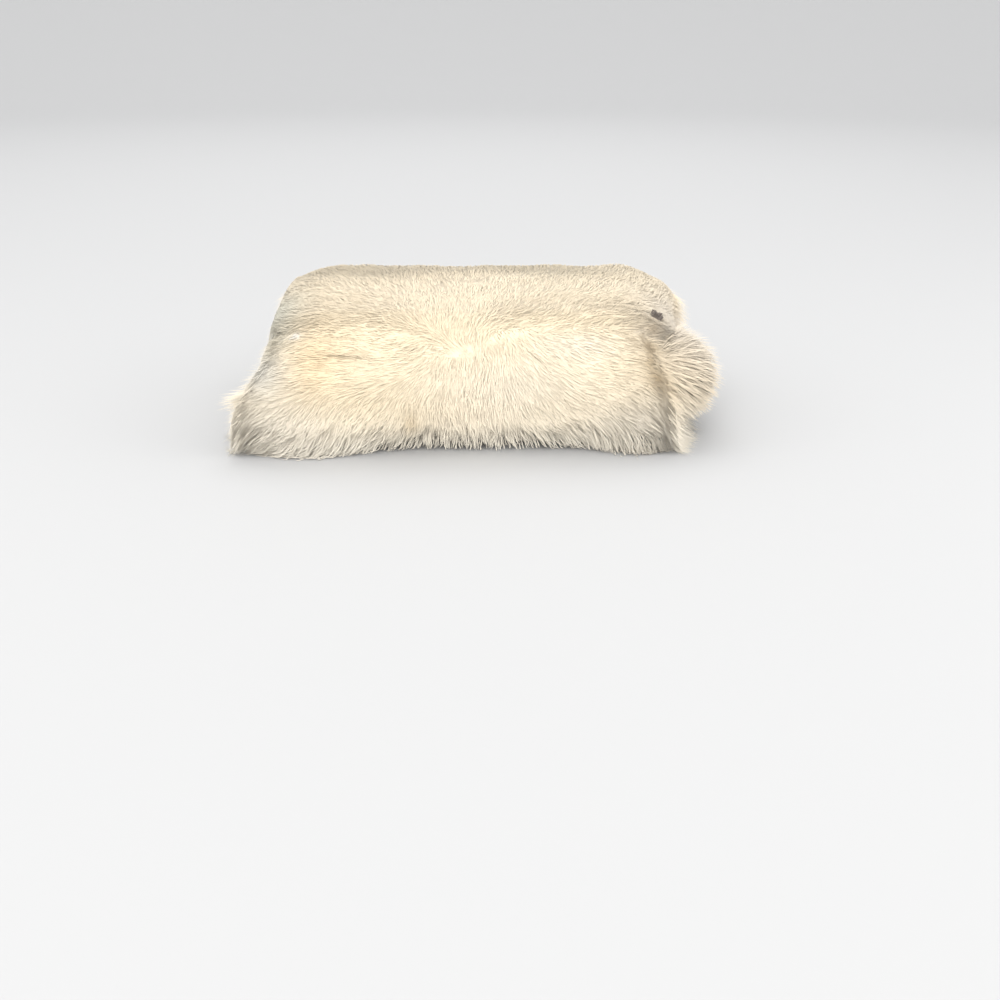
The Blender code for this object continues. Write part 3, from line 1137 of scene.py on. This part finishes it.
@dataclass
class WoolCoat:
    """Loose strands over one part of a pelt, gathered in locks that follow the fall of the wool."""

    name: str
    pelt: FoldedPelt
    node: str
    stations: tuple[float, float]
    count: int
    locks: int
    length: float
    width: float
    seed: int
    edges: tuple[float, float] = (0.0, 1.0)
    depth: float = 0.012
    tip_drop: float = 0.004
    lift: float = 0.001
    lift_spread: float = 0.0005
    gather: float = 0.2
    lock_turn: float = 7.0
    lock_curl: float = 12.0
    strand_turn: float = 7.0

    def __post_init__(self) -> None:
        self.count = count_of(self.count)

    def sample(self, count: int, draws: np.random.Generator) -> tuple[np.ndarray, np.ndarray]:
        """Spread places evenly over the wool's surface.

        Args:
            count: How many.
            draws: Seeded random numbers.

        Returns:
            Stations and shares of the width.
        """
        station = np.linspace(*self.stations, SAMPLE_CELLS + 1)
        v = np.linspace(*self.edges, SAMPLE_CELLS + 1)
        grid_s, grid_v = np.meshgrid(station, v, indexing="ij")
        grid_v = self.pelt.spread(grid_s, grid_v)
        corners = self.pelt.point(grid_s, grid_v, self.pelt.pile(grid_s, grid_v))
        down = corners[1:, :-1] - corners[:-1, :-1]
        over = corners[:-1, 1:] - corners[:-1, :-1]
        area = np.linalg.norm(np.cross(down, over), axis=-1).ravel()
        total = np.cumsum(area)
        picks = (np.arange(count) + draws.random(count)) / count * total[-1]
        cell = np.clip(np.searchsorted(total, picks), 0, len(area) - 1)
        i, j = cell // SAMPLE_CELLS, cell % SAMPLE_CELLS
        s = station[i] + (station[1] - station[0]) * draws.random(count)
        return s, self.pelt.spread(s, v[j] + (v[1] - v[0]) * draws.random(count))

    def walk(self, station: np.ndarray, v: np.ndarray, length: np.ndarray, turn: np.ndarray,
             curl: np.ndarray, rings: int) -> np.ndarray:
        """Follow the fall of the wool from each root.

        Args:
            station: Stations of the roots.
            v: Shares of the width of the roots.
            length: Length of each strand.
            turn: Turn of each strand from the fall.
            curl: Further turn of each strand by its tip.
            rings: Rings of a strand.

        Returns:
            Station and share of the width at each ring.
        """
        path = [np.stack((station, v), axis=-1)]
        step = length / (rings - 1)
        for number in range(rings - 1):
            s, w = path[-1][:, 0], path[-1][:, 1]
            height = self.pelt.pile(s, w)
            here = self.pelt.point(s, w, height)
            ahead = self.pelt.point(s + WALK_STEP, w, height)
            along = np.linalg.norm(ahead - here, axis=-1) / WALK_STEP
            index, share = self.pelt.locate(s)
            wide = self.pelt.column("right", index, share) - self.pelt.column("left", index, share)
            fall = self.pelt.fall(s, w)
            angle = np.arctan2(fall[:, 1], fall[:, 0]) + turn + curl * number / (rings - 1)
            s = s + step * np.cos(angle) / np.maximum(along, LEAST_STATION)
            w = w + step * np.sin(angle) / wide
            path.append(np.stack((s, w), axis=-1))
        return np.stack(path, axis=1)

    def lay(self, station: np.ndarray, v: np.ndarray, height: np.ndarray,
            draws: np.random.Generator) -> np.ndarray:
        """Place the rings of the strands over the pelt, where nothing varies them."""
        return self.pelt.point(station, v, height)

    def build(self, pattern: StrandPattern, material: bpy.types.Material, tint: WoolTint) -> bpy.types.Object:
        """Grow the coat and dress it.

        Args:
            pattern: The strand.
            material: The fibre.
            tint: Colours of the wool.

        Returns:
            The piece.
        """
        draws = np.random.default_rng(self.seed)
        lock_s, lock_v = self.sample(self.locks, draws)
        lock_length = self.length * draws.uniform(*LOCK_LENGTHS, self.locks)
        lock_turn = np.radians(self.lock_turn) * draws.normal(0.0, 1.0, self.locks)
        lock_lift = self.lift_spread * draws.normal(0.0, 1.0, self.locks)
        lock_curl = np.radians(self.lock_curl) * draws.normal(0.0, 1.0, self.locks)
        rings = pattern.rings
        lock_path = self.walk(lock_s, lock_v, lock_length, lock_turn, lock_curl, rings)
        station, v = self.sample(self.count, draws)
        home = nearest(self.pelt.point(lock_s, lock_v, self.pelt.pile(lock_s, lock_v)),
                       self.pelt.point(station, v, self.pelt.pile(station, v)))
        # Each strand takes the length and turn of its lock, varies them, and is drawn in to the lock's line.
        length = lock_length[home] * draws.uniform(*STRAND_LENGTHS, self.count)
        turn = lock_turn[home] + np.radians(self.strand_turn) * draws.normal(0.0, 1.0, self.count)
        path = self.walk(station, v, length, turn, lock_curl[home], rings)
        level = np.linspace(0.0, 1.0, rings)[None, :]
        path = mix(path, lock_path[home], self.gather * ease(level)[..., None])
        own = 0.5 * self.lift_spread * draws.normal(0.0, 1.0, self.count)
        # A strand climbs out of the dense wool in its first half, lies along it, and dips by its tip.
        rise = -self.depth * (1.0 - ease(2.5 * level)) - self.tip_drop * level ** 3
        rise = rise + ease(2.0 * level) * (self.lift + lock_lift[home] + own)[:, None]
        s, w = path[..., 0], path[..., 1]
        rise = rise + BARE_LIFT * (1.0 - self.pelt.column("loose", *self.pelt.locate(s)))
        root = HIDE_THICKNESS + WOOL_GAP
        height = root + np.maximum(self.pelt.pile(s, w) + rise, LEAST_WOOL)
        centres = self.lay(s, w, height, draws)
        outward = self.pelt.outward(s, w)
        draw = draws.uniform(-1.0, 1.0, self.count)
        width = self.width * draws.uniform(*STRAND_WIDTHS, self.count)
        piece = lay_strands(self.name, pattern, centres, outward, width, draw, tint)
        dress_piece(piece, material, self.node)
        return piece


@dataclass
class FringeCoat(WoolCoat):
    """Strands low on the front, which hang free: they end above the surface, and splay on it at the lobes."""

    hang: tuple[float, float] = (4.2, 5.4)
    splay: float = 0.8
    clear_height: float = 0.018
    clear_from: float = -0.200
    clear_to: float = 0.150
    clear_fade: float = 0.040
    lobe_reach: float = 0.005
    tip_spacing: float = 0.009
    tip_raggedness: float = 0.034
    end_spread: tuple[float, float] = (0.4, 1.5)
    least_fall: float = 0.002
    least_share: float = 0.3

    def lay(self, station: np.ndarray, v: np.ndarray, height: np.ndarray,
            draws: np.random.Generator) -> np.ndarray:
        """Place the rings of the strands, straight from where they leave the pelt.

        Args:
            station: Station of each ring.
            v: Share of the width of each ring.
            height: Height of each ring above the flesh side.
            draws: Seeded random numbers.

        Returns:
            The centres of the rings.
        """
        count = len(station)
        leave = draws.uniform(*self.hang, count)[:, None]
        held = np.minimum(station, leave)
        base = self.pelt.point(held, v, height)
        ahead = (self.pelt.point(held + HANG_STEP, v, height) - base) / HANG_STEP
        line = base + (station - held)[..., None] * ahead
        x = line[:, -1, 0]
        inside = np.minimum(x - self.clear_from, self.clear_to - x) / self.clear_fade
        end = mix(-self.lobe_reach, self.clear_height, ease(inside)) * draws.uniform(*self.end_spread, count)
        ragged = np.array([noise.noise(Vector((place / self.tip_spacing, 0.0, 0.0))) for place in x])
        end = np.maximum(end + self.tip_raggedness * ragged, -self.lobe_reach)
        fall = line[:, 0, 2] - line[:, -1, 2]
        wanted = (line[:, 0, 2] - end) / np.maximum(fall, self.least_fall)
        keep = np.clip(np.where(fall > self.least_fall, wanted, 1.0), self.least_share, 1.0)
        line = line[:, :1] + keep[:, None, None] * (line - line[:, :1])
        below = np.maximum(LEAST_HEIGHT - line[..., 2], 0.0)
        line[..., 1] = line[..., 1] - self.splay * below
        line[..., 2] = line[..., 2] + below * draws.uniform(1.0, 1.3, count)[:, None]
        return line


@dataclass
class WoolPuff:
    """The wool of the folded-in flap, pushed out in a round puff at one end."""

    name: str
    node: str
    centre: tuple[float, float, float]
    radii: tuple[float, float, float]
    whorl: tuple[float, float, float]
    faces: tuple[float, float, float]
    count: int
    length: float
    width: float
    seed: int
    bed_share: float = 0.86
    bed_tufts: float = 0.06
    bed_tuft_scale: float = 4.0
    stand: float = 0.018
    back_reach: float = -0.1
    ruffle: float = 0.15
    bend: float = 0.75
    root_level: float = 0.92
    rise: float = 0.10
    unevenness: float = 0.014
    outward_lean: float = 0.8
    drift: tuple[float, float, float] = (0.5, -0.2, -0.3)
    lengths: tuple[float, float] = (0.6, 1.2)
    stand_spread: tuple[float, float] = (0.3, 1.4)

    def __post_init__(self) -> None:
        self.count = count_of(self.count)

    def build(self, pattern: StrandPattern, material: bpy.types.Material, tint: WoolTint) -> bpy.types.Object:
        """Grow the strands of the puff away from its whorl.

        Args:
            pattern: The strand.
            material: The fibre.
            tint: Colours of the wool.

        Returns:
            The piece.
        """
        draws = np.random.default_rng(self.seed)
        # Directions are drawn all round, and the first of those that face the right way are kept.
        seen = unit(draws.normal(0.0, 1.0, (4 * self.count, 3)))
        seen = seen[seen @ unit(np.array(self.faces)) > self.back_reach][:self.count]
        count = len(seen)
        whorl = unit(np.array(self.whorl))
        away = unit((seen @ whorl)[:, None] * seen - whorl + self.ruffle * draws.normal(0.0, 1.0, (count, 3)))
        away = unit(away - (away * seen).sum(axis=1)[:, None] * seen)
        radii = np.array(self.radii)
        arc = self.length * draws.uniform(*self.lengths, count) / radii.mean()
        level = np.linspace(0.0, 1.0, pattern.rings)[None, :]
        angle = self.bend * arc[:, None] * level
        turned = np.cos(angle)[..., None] * seen[:, None, :] + np.sin(angle)[..., None] * away[:, None, :]
        swell = self.root_level + self.rise * ease(2.0 * level)
        swell = swell + self.unevenness * draws.normal(0.0, 1.0, (count, 1))
        centres = np.array(self.centre) + turned * swell[..., None] * radii
        free = unit(away + self.outward_lean * seen + np.array(self.drift))
        stand = self.stand * level ** 2 * draws.uniform(*self.stand_spread, (count, 1))
        centres = centres + free[:, None, :] * stand[..., None]
        outward = unit(turned / radii + np.array((0.0, 0.0, UPWARD_SHADE)) / radii.mean())
        draw = draws.uniform(-1.0, 1.0, count)
        width = self.width * draws.uniform(*STRAND_WIDTHS, count)
        piece = lay_strands(self.name, pattern, centres, outward, width, draw, tint)
        dress_piece(piece, material, self.node)
        return piece

    def build_bed(self, material: bpy.types.Material, tint: WoolTint) -> bpy.types.Object:
        """Model the dense wool beneath the puff.

        Args:
            material: The dense wool.
            tint: Colours of the wool.

        Returns:
            The piece.
        """
        deselect_all()
        bpy.ops.mesh.primitive_ico_sphere_add(subdivisions=4, radius=1.0)
        piece = bpy.context.object
        piece.name = self.name + "_bed"
        piece.data.name = piece.name
        points = np.array([tuple(vertex.co) for vertex in piece.data.vertices])
        tufts = np.array([noise.noise(Vector(point) * self.bed_tuft_scale) for point in points])
        share = self.bed_share * (1.0 + self.bed_tufts * tufts)
        points = np.array(self.centre) + points * share[:, None] * np.array(self.radii)
        place_points(piece, points)
        paint(piece, tint.at(points, np.full(len(points), BED_LEVEL), tufts))
        dress_piece(piece, material, self.node)
        return piece


@dataclass
class RimCoat:
    """Strands that stand out of the cut ends of a pelt, and droop."""

    name: str
    pelt: FoldedPelt
    node: str
    end: End
    stations: tuple[float, float]
    count: int
    length: float
    width: float
    seed: int
    droop: float = 0.012
    downwards: float = 0.45
    fan: float = 0.25
    spacing: float = 0.5
    middle: float = 0.35
    inset: float = 0.003
    root_lean: float = 0.7
    root_start: float = -0.2
    lengths: tuple[float, float] = (0.6, 1.15)
    droop_spread: tuple[float, float] = (0.5, 1.5)

    def __post_init__(self) -> None:
        self.count = count_of(self.count)

    def build(self, pattern: StrandPattern, material: bpy.types.Material, tint: WoolTint) -> bpy.types.Object:
        """Grow the strands of the end and dress them.

        Args:
            pattern: The strand.
            material: The fibre.
            tint: Colours of the wool.

        Returns:
            The piece.
        """
        draws = np.random.default_rng(self.seed)
        station = draws.uniform(*self.stations, self.count)
        outwards = 2.0 * self.end.value - 1.0
        end = self.pelt.spread(station, np.full(self.count, float(self.end.value)))
        layer = draws.random(self.count) ** self.spacing
        height = HIDE_THICKNESS + WOOL_GAP + layer * (self.pelt.pile(station, end) - self.inset)
        base = self.pelt.point(station, end, height, self.root_lean)
        index, share = self.pelt.locate(station)
        _, _, out_y, out_level = self.pelt.section(index, share, self.pelt.x_of(station, end))
        away = np.stack((0.0 * out_y, out_y, self.pelt.side.value * out_level), axis=-1)
        length = self.length * draws.uniform(*self.lengths, self.count)
        fan = (layer - self.middle)[:, None] * away + self.fan * draws.normal(0.0, 1.0, (self.count, 3))
        fan[:, 0] = outwards
        fan[:, 2] = fan[:, 2] - self.downwards
        heading = unit(fan)
        level = np.linspace(0.0, 1.0, pattern.rings)[None, :]
        reach = length[:, None] * mix(self.root_start, 1.0, level)
        centres = base[:, None, :] + heading[:, None, :] * reach[..., None]
        sag = level ** 2 * self.droop * draws.uniform(*self.droop_spread, self.count)[:, None]
        centres[..., 2] = centres[..., 2] - sag
        shaded = unit(heading + away + np.array((0.0, 0.0, 2.0 * UPWARD_SHADE)))
        outward = np.repeat(shaded[:, None, :], pattern.rings, axis=1)
        draw = draws.uniform(-1.0, 1.0, self.count)
        width = self.width * draws.uniform(*STRAND_WIDTHS, self.count)
        piece = lay_strands(self.name, pattern, centres, outward, width, draw, tint)
        dress_piece(piece, material, self.node)
        return piece


def nearest(centres: np.ndarray, points: np.ndarray) -> np.ndarray:
    """Find the nearest centre to each point.

    Args:
        centres: The centres, one row each.
        points: The points, one row each.

    Returns:
        The number of the nearest centre to each point.
    """
    tree = kdtree.KDTree(len(centres))
    for number, centre in enumerate(centres):
        tree.insert(centre, number)
    tree.balance()
    return np.array([tree.find(point)[1] for point in points])


def lay_strands(name: str, pattern: StrandPattern, centres: np.ndarray, outward: np.ndarray,
                width: np.ndarray, draw: np.ndarray, tint: WoolTint) -> bpy.types.Object:
    """Lay a copy of the strand along each line of centres.

    Args:
        name: Name of the piece.
        pattern: The strand.
        centres: Centre of each ring of each strand.
        outward: Direction out of the wool at each ring.
        width: Width of each strand.
        draw: Number from -1 to 1 that tints each strand.
        tint: Colours of the wool.

    Returns:
        The piece, with its tint and soft shading.
    """
    level = np.linspace(0.0, 1.0, pattern.rings)
    profile = mix(ROOT_WIDTH, 1.0, ease(2.0 * level)) * np.sqrt(np.maximum(1.0 - level ** 2, 0.0))
    thickness = profile[None, :] * width[:, None] * 0.5
    centres = centres.copy()
    centres[..., 2] = np.maximum(centres[..., 2], LEAST_HEIGHT + thickness)
    tangent = unit(np.gradient(centres, axis=1))
    beside = unit(np.cross(tangent, outward))
    above = unit(np.cross(beside, tangent))
    ring = pattern.ring
    across = np.cos(pattern.around)[None, :, None] * thickness[:, ring, None]
    up = np.sin(pattern.around)[None, :, None] * thickness[:, ring, None] * STRAND_FLATNESS
    spokes = across * beside[:, ring] + up * above[:, ring]
    points = centres[:, ring] + spokes
    soft = unit(SPOKE_SHADE * unit(spokes) + outward[:, ring] + ALONG_SHADE * tangent[:, ring])
    soft[:, pattern.is_tip] = unit(outward[:, ring] + tangent[:, ring])[:, pattern.is_tip]
    along = np.broadcast_to(ring / (pattern.rings - 1.0), points.shape[:2])
    count, size = points.shape[:2]
    faces = [np.array(face) for face in pattern.faces]
    corners = np.concatenate(faces)
    lengths = np.array([len(face) for face in faces])
    offsets = (np.arange(count) * size)[:, None]
    mesh = bpy.data.meshes.new(name)
    mesh.vertices.add(count * size)
    mesh.vertices.foreach_set("co", points.astype(np.float32).ravel())
    mesh.loops.add(count * len(corners))
    mesh.loops.foreach_set("vertex_index", (corners[None, :] + offsets).astype(np.int32).ravel())
    mesh.polygons.add(count * len(lengths))
    starts = np.concatenate(([0], np.cumsum(np.tile(lengths, count))[:-1]))
    mesh.polygons.foreach_set("loop_start", starts.astype(np.int32))
    mesh.update(calc_edges=True)
    mesh.validate()
    if signed_volume(mesh) < 0.0:
        mesh.flip_normals()
    mesh.shade_smooth()
    mesh.normals_split_custom_set_from_vertices(soft.reshape(-1, 3).tolist())
    piece = bpy.data.objects.new(name, mesh)
    bpy.context.scene.collection.objects.link(piece)
    paint(piece, tint.at(points.reshape(-1, 3), along.ravel(), np.repeat(draw, size)))
    return piece


@dataclass(frozen=True)
class View:
    """The camera: where it stands before the model is centred, its turns in degrees and its lens."""

    x: float = -0.0485
    y: float = -1.6725
    z: float = 0.572
    pitch: float = 23.53
    yaw: float = 2.4
    roll: float = -0.2
    lens: float = 39.942
    sensor: float = 36.0

    def build(self, shift: np.ndarray) -> None:
        """Set up the camera.

        Args:
            shift: How far the model was moved to centre it.
        """
        pitch, yaw, roll = (math.radians(angle) for angle in (self.pitch, self.yaw, self.roll))
        ahead = Vector((math.sin(yaw) * math.cos(pitch), math.cos(yaw) * math.cos(pitch), -math.sin(pitch)))
        level = Vector((math.cos(yaw), -math.sin(yaw), 0.0))
        down = ahead.cross(level)
        right = math.cos(roll) * level + math.sin(roll) * down
        below = -math.sin(roll) * level + math.cos(roll) * down
        camera = bpy.data.objects.new("camera", bpy.data.cameras.new("camera"))
        camera.data.lens = self.lens
        camera.data.sensor_width = self.sensor
        turned = Matrix((right, -below, -ahead)).transposed().to_4x4()
        camera.matrix_world = Matrix.Translation(Vector((self.x, self.y, self.z)) + Vector(shift)) @ turned
        bpy.context.scene.collection.objects.link(camera)
        bpy.context.scene.camera = camera


@dataclass(frozen=True)
class SoftLight:
    """A square soft lamp and the place it looks at."""

    name: str
    place: tuple[float, float, float]
    size: float
    power: float
    colour: tuple[float, float, float] = (1.0, 1.0, 1.0)
    looks_at: tuple[float, float, float] = (0.0, 0.0, 0.08)

    def build(self) -> None:
        """Hang the lamp."""
        lamp = bpy.data.lights.new(self.name, "AREA")
        lamp.size = self.size
        lamp.energy = self.power
        lamp.color = self.colour
        holder = bpy.data.objects.new(self.name, lamp)
        holder.location = self.place
        aim = Vector(self.looks_at) - Vector(self.place)
        holder.rotation_euler = aim.to_track_quat("-Z", "Y").to_euler()
        bpy.context.scene.collection.objects.link(holder)


@dataclass(frozen=True)
class Floor:
    """A round pale floor that sweeps up into its own backdrop all round."""

    flat_radius: float = 6.0
    centre_share: float = 0.7
    sweep_radius: float = 4.0
    sweep_turn: float = 85.0
    rings: int = 12
    sides: int = 96
    colour: tuple[float, float, float, float] = (0.55, 0.55, 0.548, 1.0)
    roughness: float = 0.9
    shine: float = 0.2

    def build(self) -> None:
        """Model the floor, and make it pale and matt."""
        floor = self.model()
        material = bpy.data.materials.new("pale_floor")
        material.use_nodes = True
        shader = material.node_tree.nodes["Principled BSDF"]
        shader.inputs["Base Color"].default_value = self.colour
        shader.inputs["Roughness"].default_value = self.roughness
        shader.inputs["Specular IOR Level"].default_value = self.shine
        floor.data.materials.append(material)

    def model(self) -> bpy.types.Object:
        """Model the floor ring by ring, from its middle up the sweep.

        Returns:
            The floor.
        """
        deselect_all()
        radius, level = self.centre_share * self.flat_radius, 0.0
        bpy.ops.mesh.primitive_circle_add(vertices=self.sides, radius=radius, fill_type="NGON")
        floor = bpy.context.object
        floor.name = "floor"
        bpy.ops.object.mode_set(mode="EDIT")
        bpy.ops.mesh.select_mode(type="EDGE")
        bpy.ops.mesh.select_all(action="SELECT")
        for next_radius, next_level in self.steps():
            bpy.ops.mesh.extrude_edges_move(TRANSFORM_OT_translate={"value": (0.0, 0.0, next_level - level)})
            share = next_radius / radius
            bpy.ops.transform.resize(value=(share, share, 1.0), center_override=(0.0, 0.0, next_level))
            radius, level = next_radius, next_level
        bpy.ops.object.mode_set(mode="OBJECT")
        floor.data.shade_smooth()
        deselect_all()
        return floor

    def steps(self) -> list[tuple[float, float]]:
        """List the radius and level of each ring.

        Returns:
            The rings, from the edge of the flat part up the sweep.
        """
        rings = [(self.flat_radius, 0.0)]
        for number in range(1, self.rings + 1):
            turn = math.radians(self.sweep_turn) * number / self.rings
            reach = self.sweep_radius * math.sin(turn)
            rings.append((self.flat_radius + reach, self.sweep_radius * (1.0 - math.cos(turn))))
        return rings


@dataclass(frozen=True)
class Studio:
    """The soft room round the sheepskin: its floor, its sky and its lamps."""

    sky_colour: tuple[float, float, float, float] = (0.98, 0.985, 1.0, 1.0)
    sky_strength: float = 1.14
    lamps: tuple[SoftLight, ...] = (
        SoftLight("front_light", (-0.5, -5.0, 3.4), 4.6, 212.0, colour=(1.0, 0.99, 0.97)),
        SoftLight("back_light", (0.0, 3.0, 4.5), 3.6, 66.0, looks_at=(0.0, 3.0, 0.0)),
        SoftLight("right_fill", (2.2, -0.9, 0.9), 1.6, 12.0),
        SoftLight("left_fill", (-2.2, -0.9, 0.9), 1.6, 8.0),
    )

    def build(self) -> None:
        """Lay the floor, set the sky and hang the lamps."""
        Floor().build()
        world = bpy.data.worlds.new("soft_room")
        world.use_nodes = True
        sky = world.node_tree.nodes["Background"]
        sky.inputs["Color"].default_value = self.sky_colour
        sky.inputs["Strength"].default_value = self.sky_strength
        bpy.context.scene.world = world
        bpy.context.scene.view_settings.view_transform = "Standard"
        for lamp in self.lamps:
            lamp.build()


def wool_coats(upper: FoldedPelt, lower: FoldedPelt, down: StrandPattern,
               fine: StrandPattern) -> tuple[tuple[StrandPattern, WoolCoat], ...]:
    """List the coats of loose strands, each with its strand.

    Args:
        upper: The upper pelt.
        lower: The lower pelt.
        down: Straight strand.
        fine: Strand with one bend.

    Returns:
        The coats, in the order in which they are grown.
    """
    top, base = UPPER_FLEECE, LOWER_FLEECE
    return (
        (fine, WoolCoat("wool_upper_front", upper, top, (-1.0, 5.5), 8000, 420, 0.050, 0.0014, 11,
                        tip_drop=0.003)),
        (down, WoolCoat("down_upper_front", upper, top, (-1.2, 5.5), 24000, 900, 0.030, 0.0014, 31,
                        depth=0.002, lift=0.0015, lift_spread=0.0003, tip_drop=0.002, gather=0.15)),
        (fine, WoolCoat("wool_upper_top", upper, top, (5.0, 13.2), 6500, 480, 0.052, 0.0016, 12,
                        depth=0.006, lift_spread=0.0004, gather=0.15, tip_drop=0.002)),
        (down, WoolCoat("down_upper_top", upper, top, (5.0, 13.6), 19000, 900, 0.044, 0.0014, 32,
                        depth=0.001, lift=0.001, lift_spread=0.0003, gather=0.12, strand_turn=8.0,
                        tip_drop=0.001)),
        (fine, WoolCoat("wool_upper_back", upper, top, (13.0, 18.9), 3400, 300, 0.050, 0.0019, 13)),
        (down, WoolCoat("down_upper_back", upper, top, (13.0, 18.9), 6500, 500, 0.032, 0.0015, 33,
                        depth=0.004, lift=0.002, strand_turn=12.0)),
        (fine, FringeCoat("wool_lower_front", lower, base, (-1.0, 4.2), 7500, 420, 0.050, 0.0013, 14)),
        (down, FringeCoat("down_lower_front", lower, base, (-1.2, 4.6), 23000, 900, 0.030, 0.0014, 34,
                          depth=0.002, lift=0.0015, lift_spread=0.0003, tip_drop=0.002, gather=0.15)),
        (fine, FringeCoat("wool_lower_fringe", lower, base, (2.8, 6.2), 7500, 360, 0.052, 0.0012, 18,
                          gather=0.5, lift_spread=0.0018)),
        (fine, WoolCoat("wool_lower_back", lower, base, (17.0, 22.9), 3000, 220, 0.042, 0.0018, 15)),
        (down, WoolCoat("down_lower_back", lower, base, (17.0, 22.9), 5000, 400, 0.028, 0.0015, 35,
                        depth=0.004, lift=0.002, strand_turn=12.0)),
        (fine, WoolCoat("wool_flap_left", lower, base, (22.0, 29.0), 1500, 90, 0.036, 0.0014, 19,
                        edges=(0.0, 0.16))),
        (fine, WoolCoat("wool_flap_right", lower, base, (22.0, 29.0), 2000, 110, 0.036, 0.0014, 20,
                        edges=(0.80, 1.0))),
        (down, WoolCoat("wool_seam", upper, top, (-1.1, 1.1), 2500, 300, 0.022, 0.0012, 22,
                        depth=0.004, lift=0.001, gather=0.2, strand_turn=40.0)),
        # Painted highlight: a few strands raised through the small white glint by the left notch.
        (fine, WoolCoat("wool_painted_glint", upper, top, (0.84, 0.98), 40, 4, 0.008, 0.0013, 42,
                        edges=(0.016, 0.024), depth=0.001, lift=0.004)),
    )


def hole_shade_tuft(upper: FoldedPelt) -> WoolCoat:
    """Describe a small tuft of dark brown strands near the right end of the upper pelt: painted shade where a
    gap between the layers lies in shadow.
    """
    return WoolCoat("wool_painted_hole_shade", upper, UPPER_FLEECE, (4.0, 4.30), 200, 6, 0.009, 0.0012, 41,
                    edges=(0.930, 0.948), depth=0.001, lift=0.006, lift_spread=0.002)


def rim_coats(upper: FoldedPelt, lower: FoldedPelt) -> tuple[RimCoat, ...]:
    """List the coats that stand out of the ends of the two pelts.

    Args:
        upper: The upper pelt.
        lower: The lower pelt.

    Returns:
        The coats, in the order in which they are grown.
    """
    top, base = UPPER_FLEECE, LOWER_FLEECE
    return (
        RimCoat("wool_upper_end_left", upper, top, End.LEFT, (0.0, upper.last), 2400, 0.026, 0.0014, 16,
                downwards=1.0, fan=0.15),
        RimCoat("wool_upper_end_right", upper, top, End.RIGHT, (0.0, upper.last), 3800, 0.036, 0.0014, 26,
                downwards=0.8, fan=0.20, droop=0.016),
        RimCoat("wool_lower_end_left", lower, base, End.LEFT, (7.0, lower.last), 3400, 0.040, 0.0014, 17,
                downwards=0.9, droop=0.016, spacing=1.2),
        RimCoat("wool_lower_lobe_left", lower, base, End.LEFT, (0.0, 7.0), 1500, 0.030, 0.0012, 38,
                downwards=0.45, fan=0.35, droop=0.008, spacing=1.0),
        RimCoat("wool_lower_end_right", lower, base, End.RIGHT, (7.0, lower.last), 2600, 0.040, 0.0014,
                27, downwards=0.8, droop=0.014, spacing=1.2),
        RimCoat("wool_lower_lobe_right", lower, base, End.RIGHT, (0.0, 7.0), 1500, 0.036, 0.0012, 39,
                downwards=0.45, fan=0.35, droop=0.008),
        RimCoat("wool_wisps_left", lower, base, End.LEFT, (2.9, 3.6), 100, 0.042, 0.0011, 37,
                downwards=0.05, fan=0.10, droop=0.003),
    )


def main() -> None:
    """Build the folded sheepskin, its studio and its camera."""
    logging.basicConfig(level=logging.INFO, format="%(name)s: %(message)s")
    upper = FoldedPelt(Side.UPPER, UPPER_RUNS, UPPER_SPILLS, UPPER_COMBS, UPPER_SWELLS, UPPER_RIM_RADII)
    lower = FoldedPelt(Side.LOWER, LOWER_RUNS, LOWER_SPILLS, LOWER_COMBS, LOWER_SWELLS, LOWER_RIM_RADII)
    View().build(upper.shift)
    Studio().build()
    suede = LeatherFinish().make()
    bed_wool = WoolFinish("dense_wool", Grain(260.0, 0.25, 0.9, bump=0.6), sheen=0.2).make()
    fibre = WoolFinish("wool_fibre", Grain(420.0, 0.10, 0.62), sheen=0.35).make()
    tint = WoolTint()
    Hide("leather_upper", upper, UPPER_HIDE, flat=(0.540, 0.581), area=0.292, pattern=SlabPattern(75, 30),
         rests_on=(LOWER_HIDE,)).build(suede)
    Hide("leather_lower", lower, LOWER_HIDE, flat=(0.672, 0.662), area=0.392, pattern=SlabPattern(87, 34),
         rests_on=(LOWER_FLEECE,)).build(suede)
    SeamThread("seam_thread", UPPER_HIDE, upper, lower).build(ThreadFinish().make())
    FleeceBed("fleece_bed_upper", upper, UPPER_FLEECE, SlabPattern(90, 60)).build(bed_wool, tint)
    FleeceBed("fleece_bed_lower", lower, LOWER_FLEECE, SlabPattern(104, 64)).build(bed_wool, tint)
    puff = WoolPuff("wool_puff_right", LOWER_FLEECE, centre=(0.262, -0.095, 0.088),
                    radii=(0.064, 0.090, 0.058), whorl=(-0.60, -0.55, 0.60), faces=(0.75, -0.55, 0.35),
                    count=2700, length=0.058, width=0.0015, seed=21)
    puff.build_bed(bed_wool, tint)
    down = StrandPattern(1)
    fine = StrandPattern(2)
    puff.build(StrandPattern(3), fibre, tint)
    for pattern, coat in wool_coats(upper, lower, down, fine):
        coat.build(pattern, fibre, tint)
    # Painted shade: the dark brown strands stand for the shadowed gap between the layers.
    hole_shade_tuft(upper).build(fine, fibre, WoolTint(cream=HOLE_SHADE_UMBER, fringe=HOLE_SHADE_UMBER, patches=()))
    for coat in rim_coats(upper, lower):
        coat.build(fine, fibre, tint)


if __name__ == "__main__":
    main()
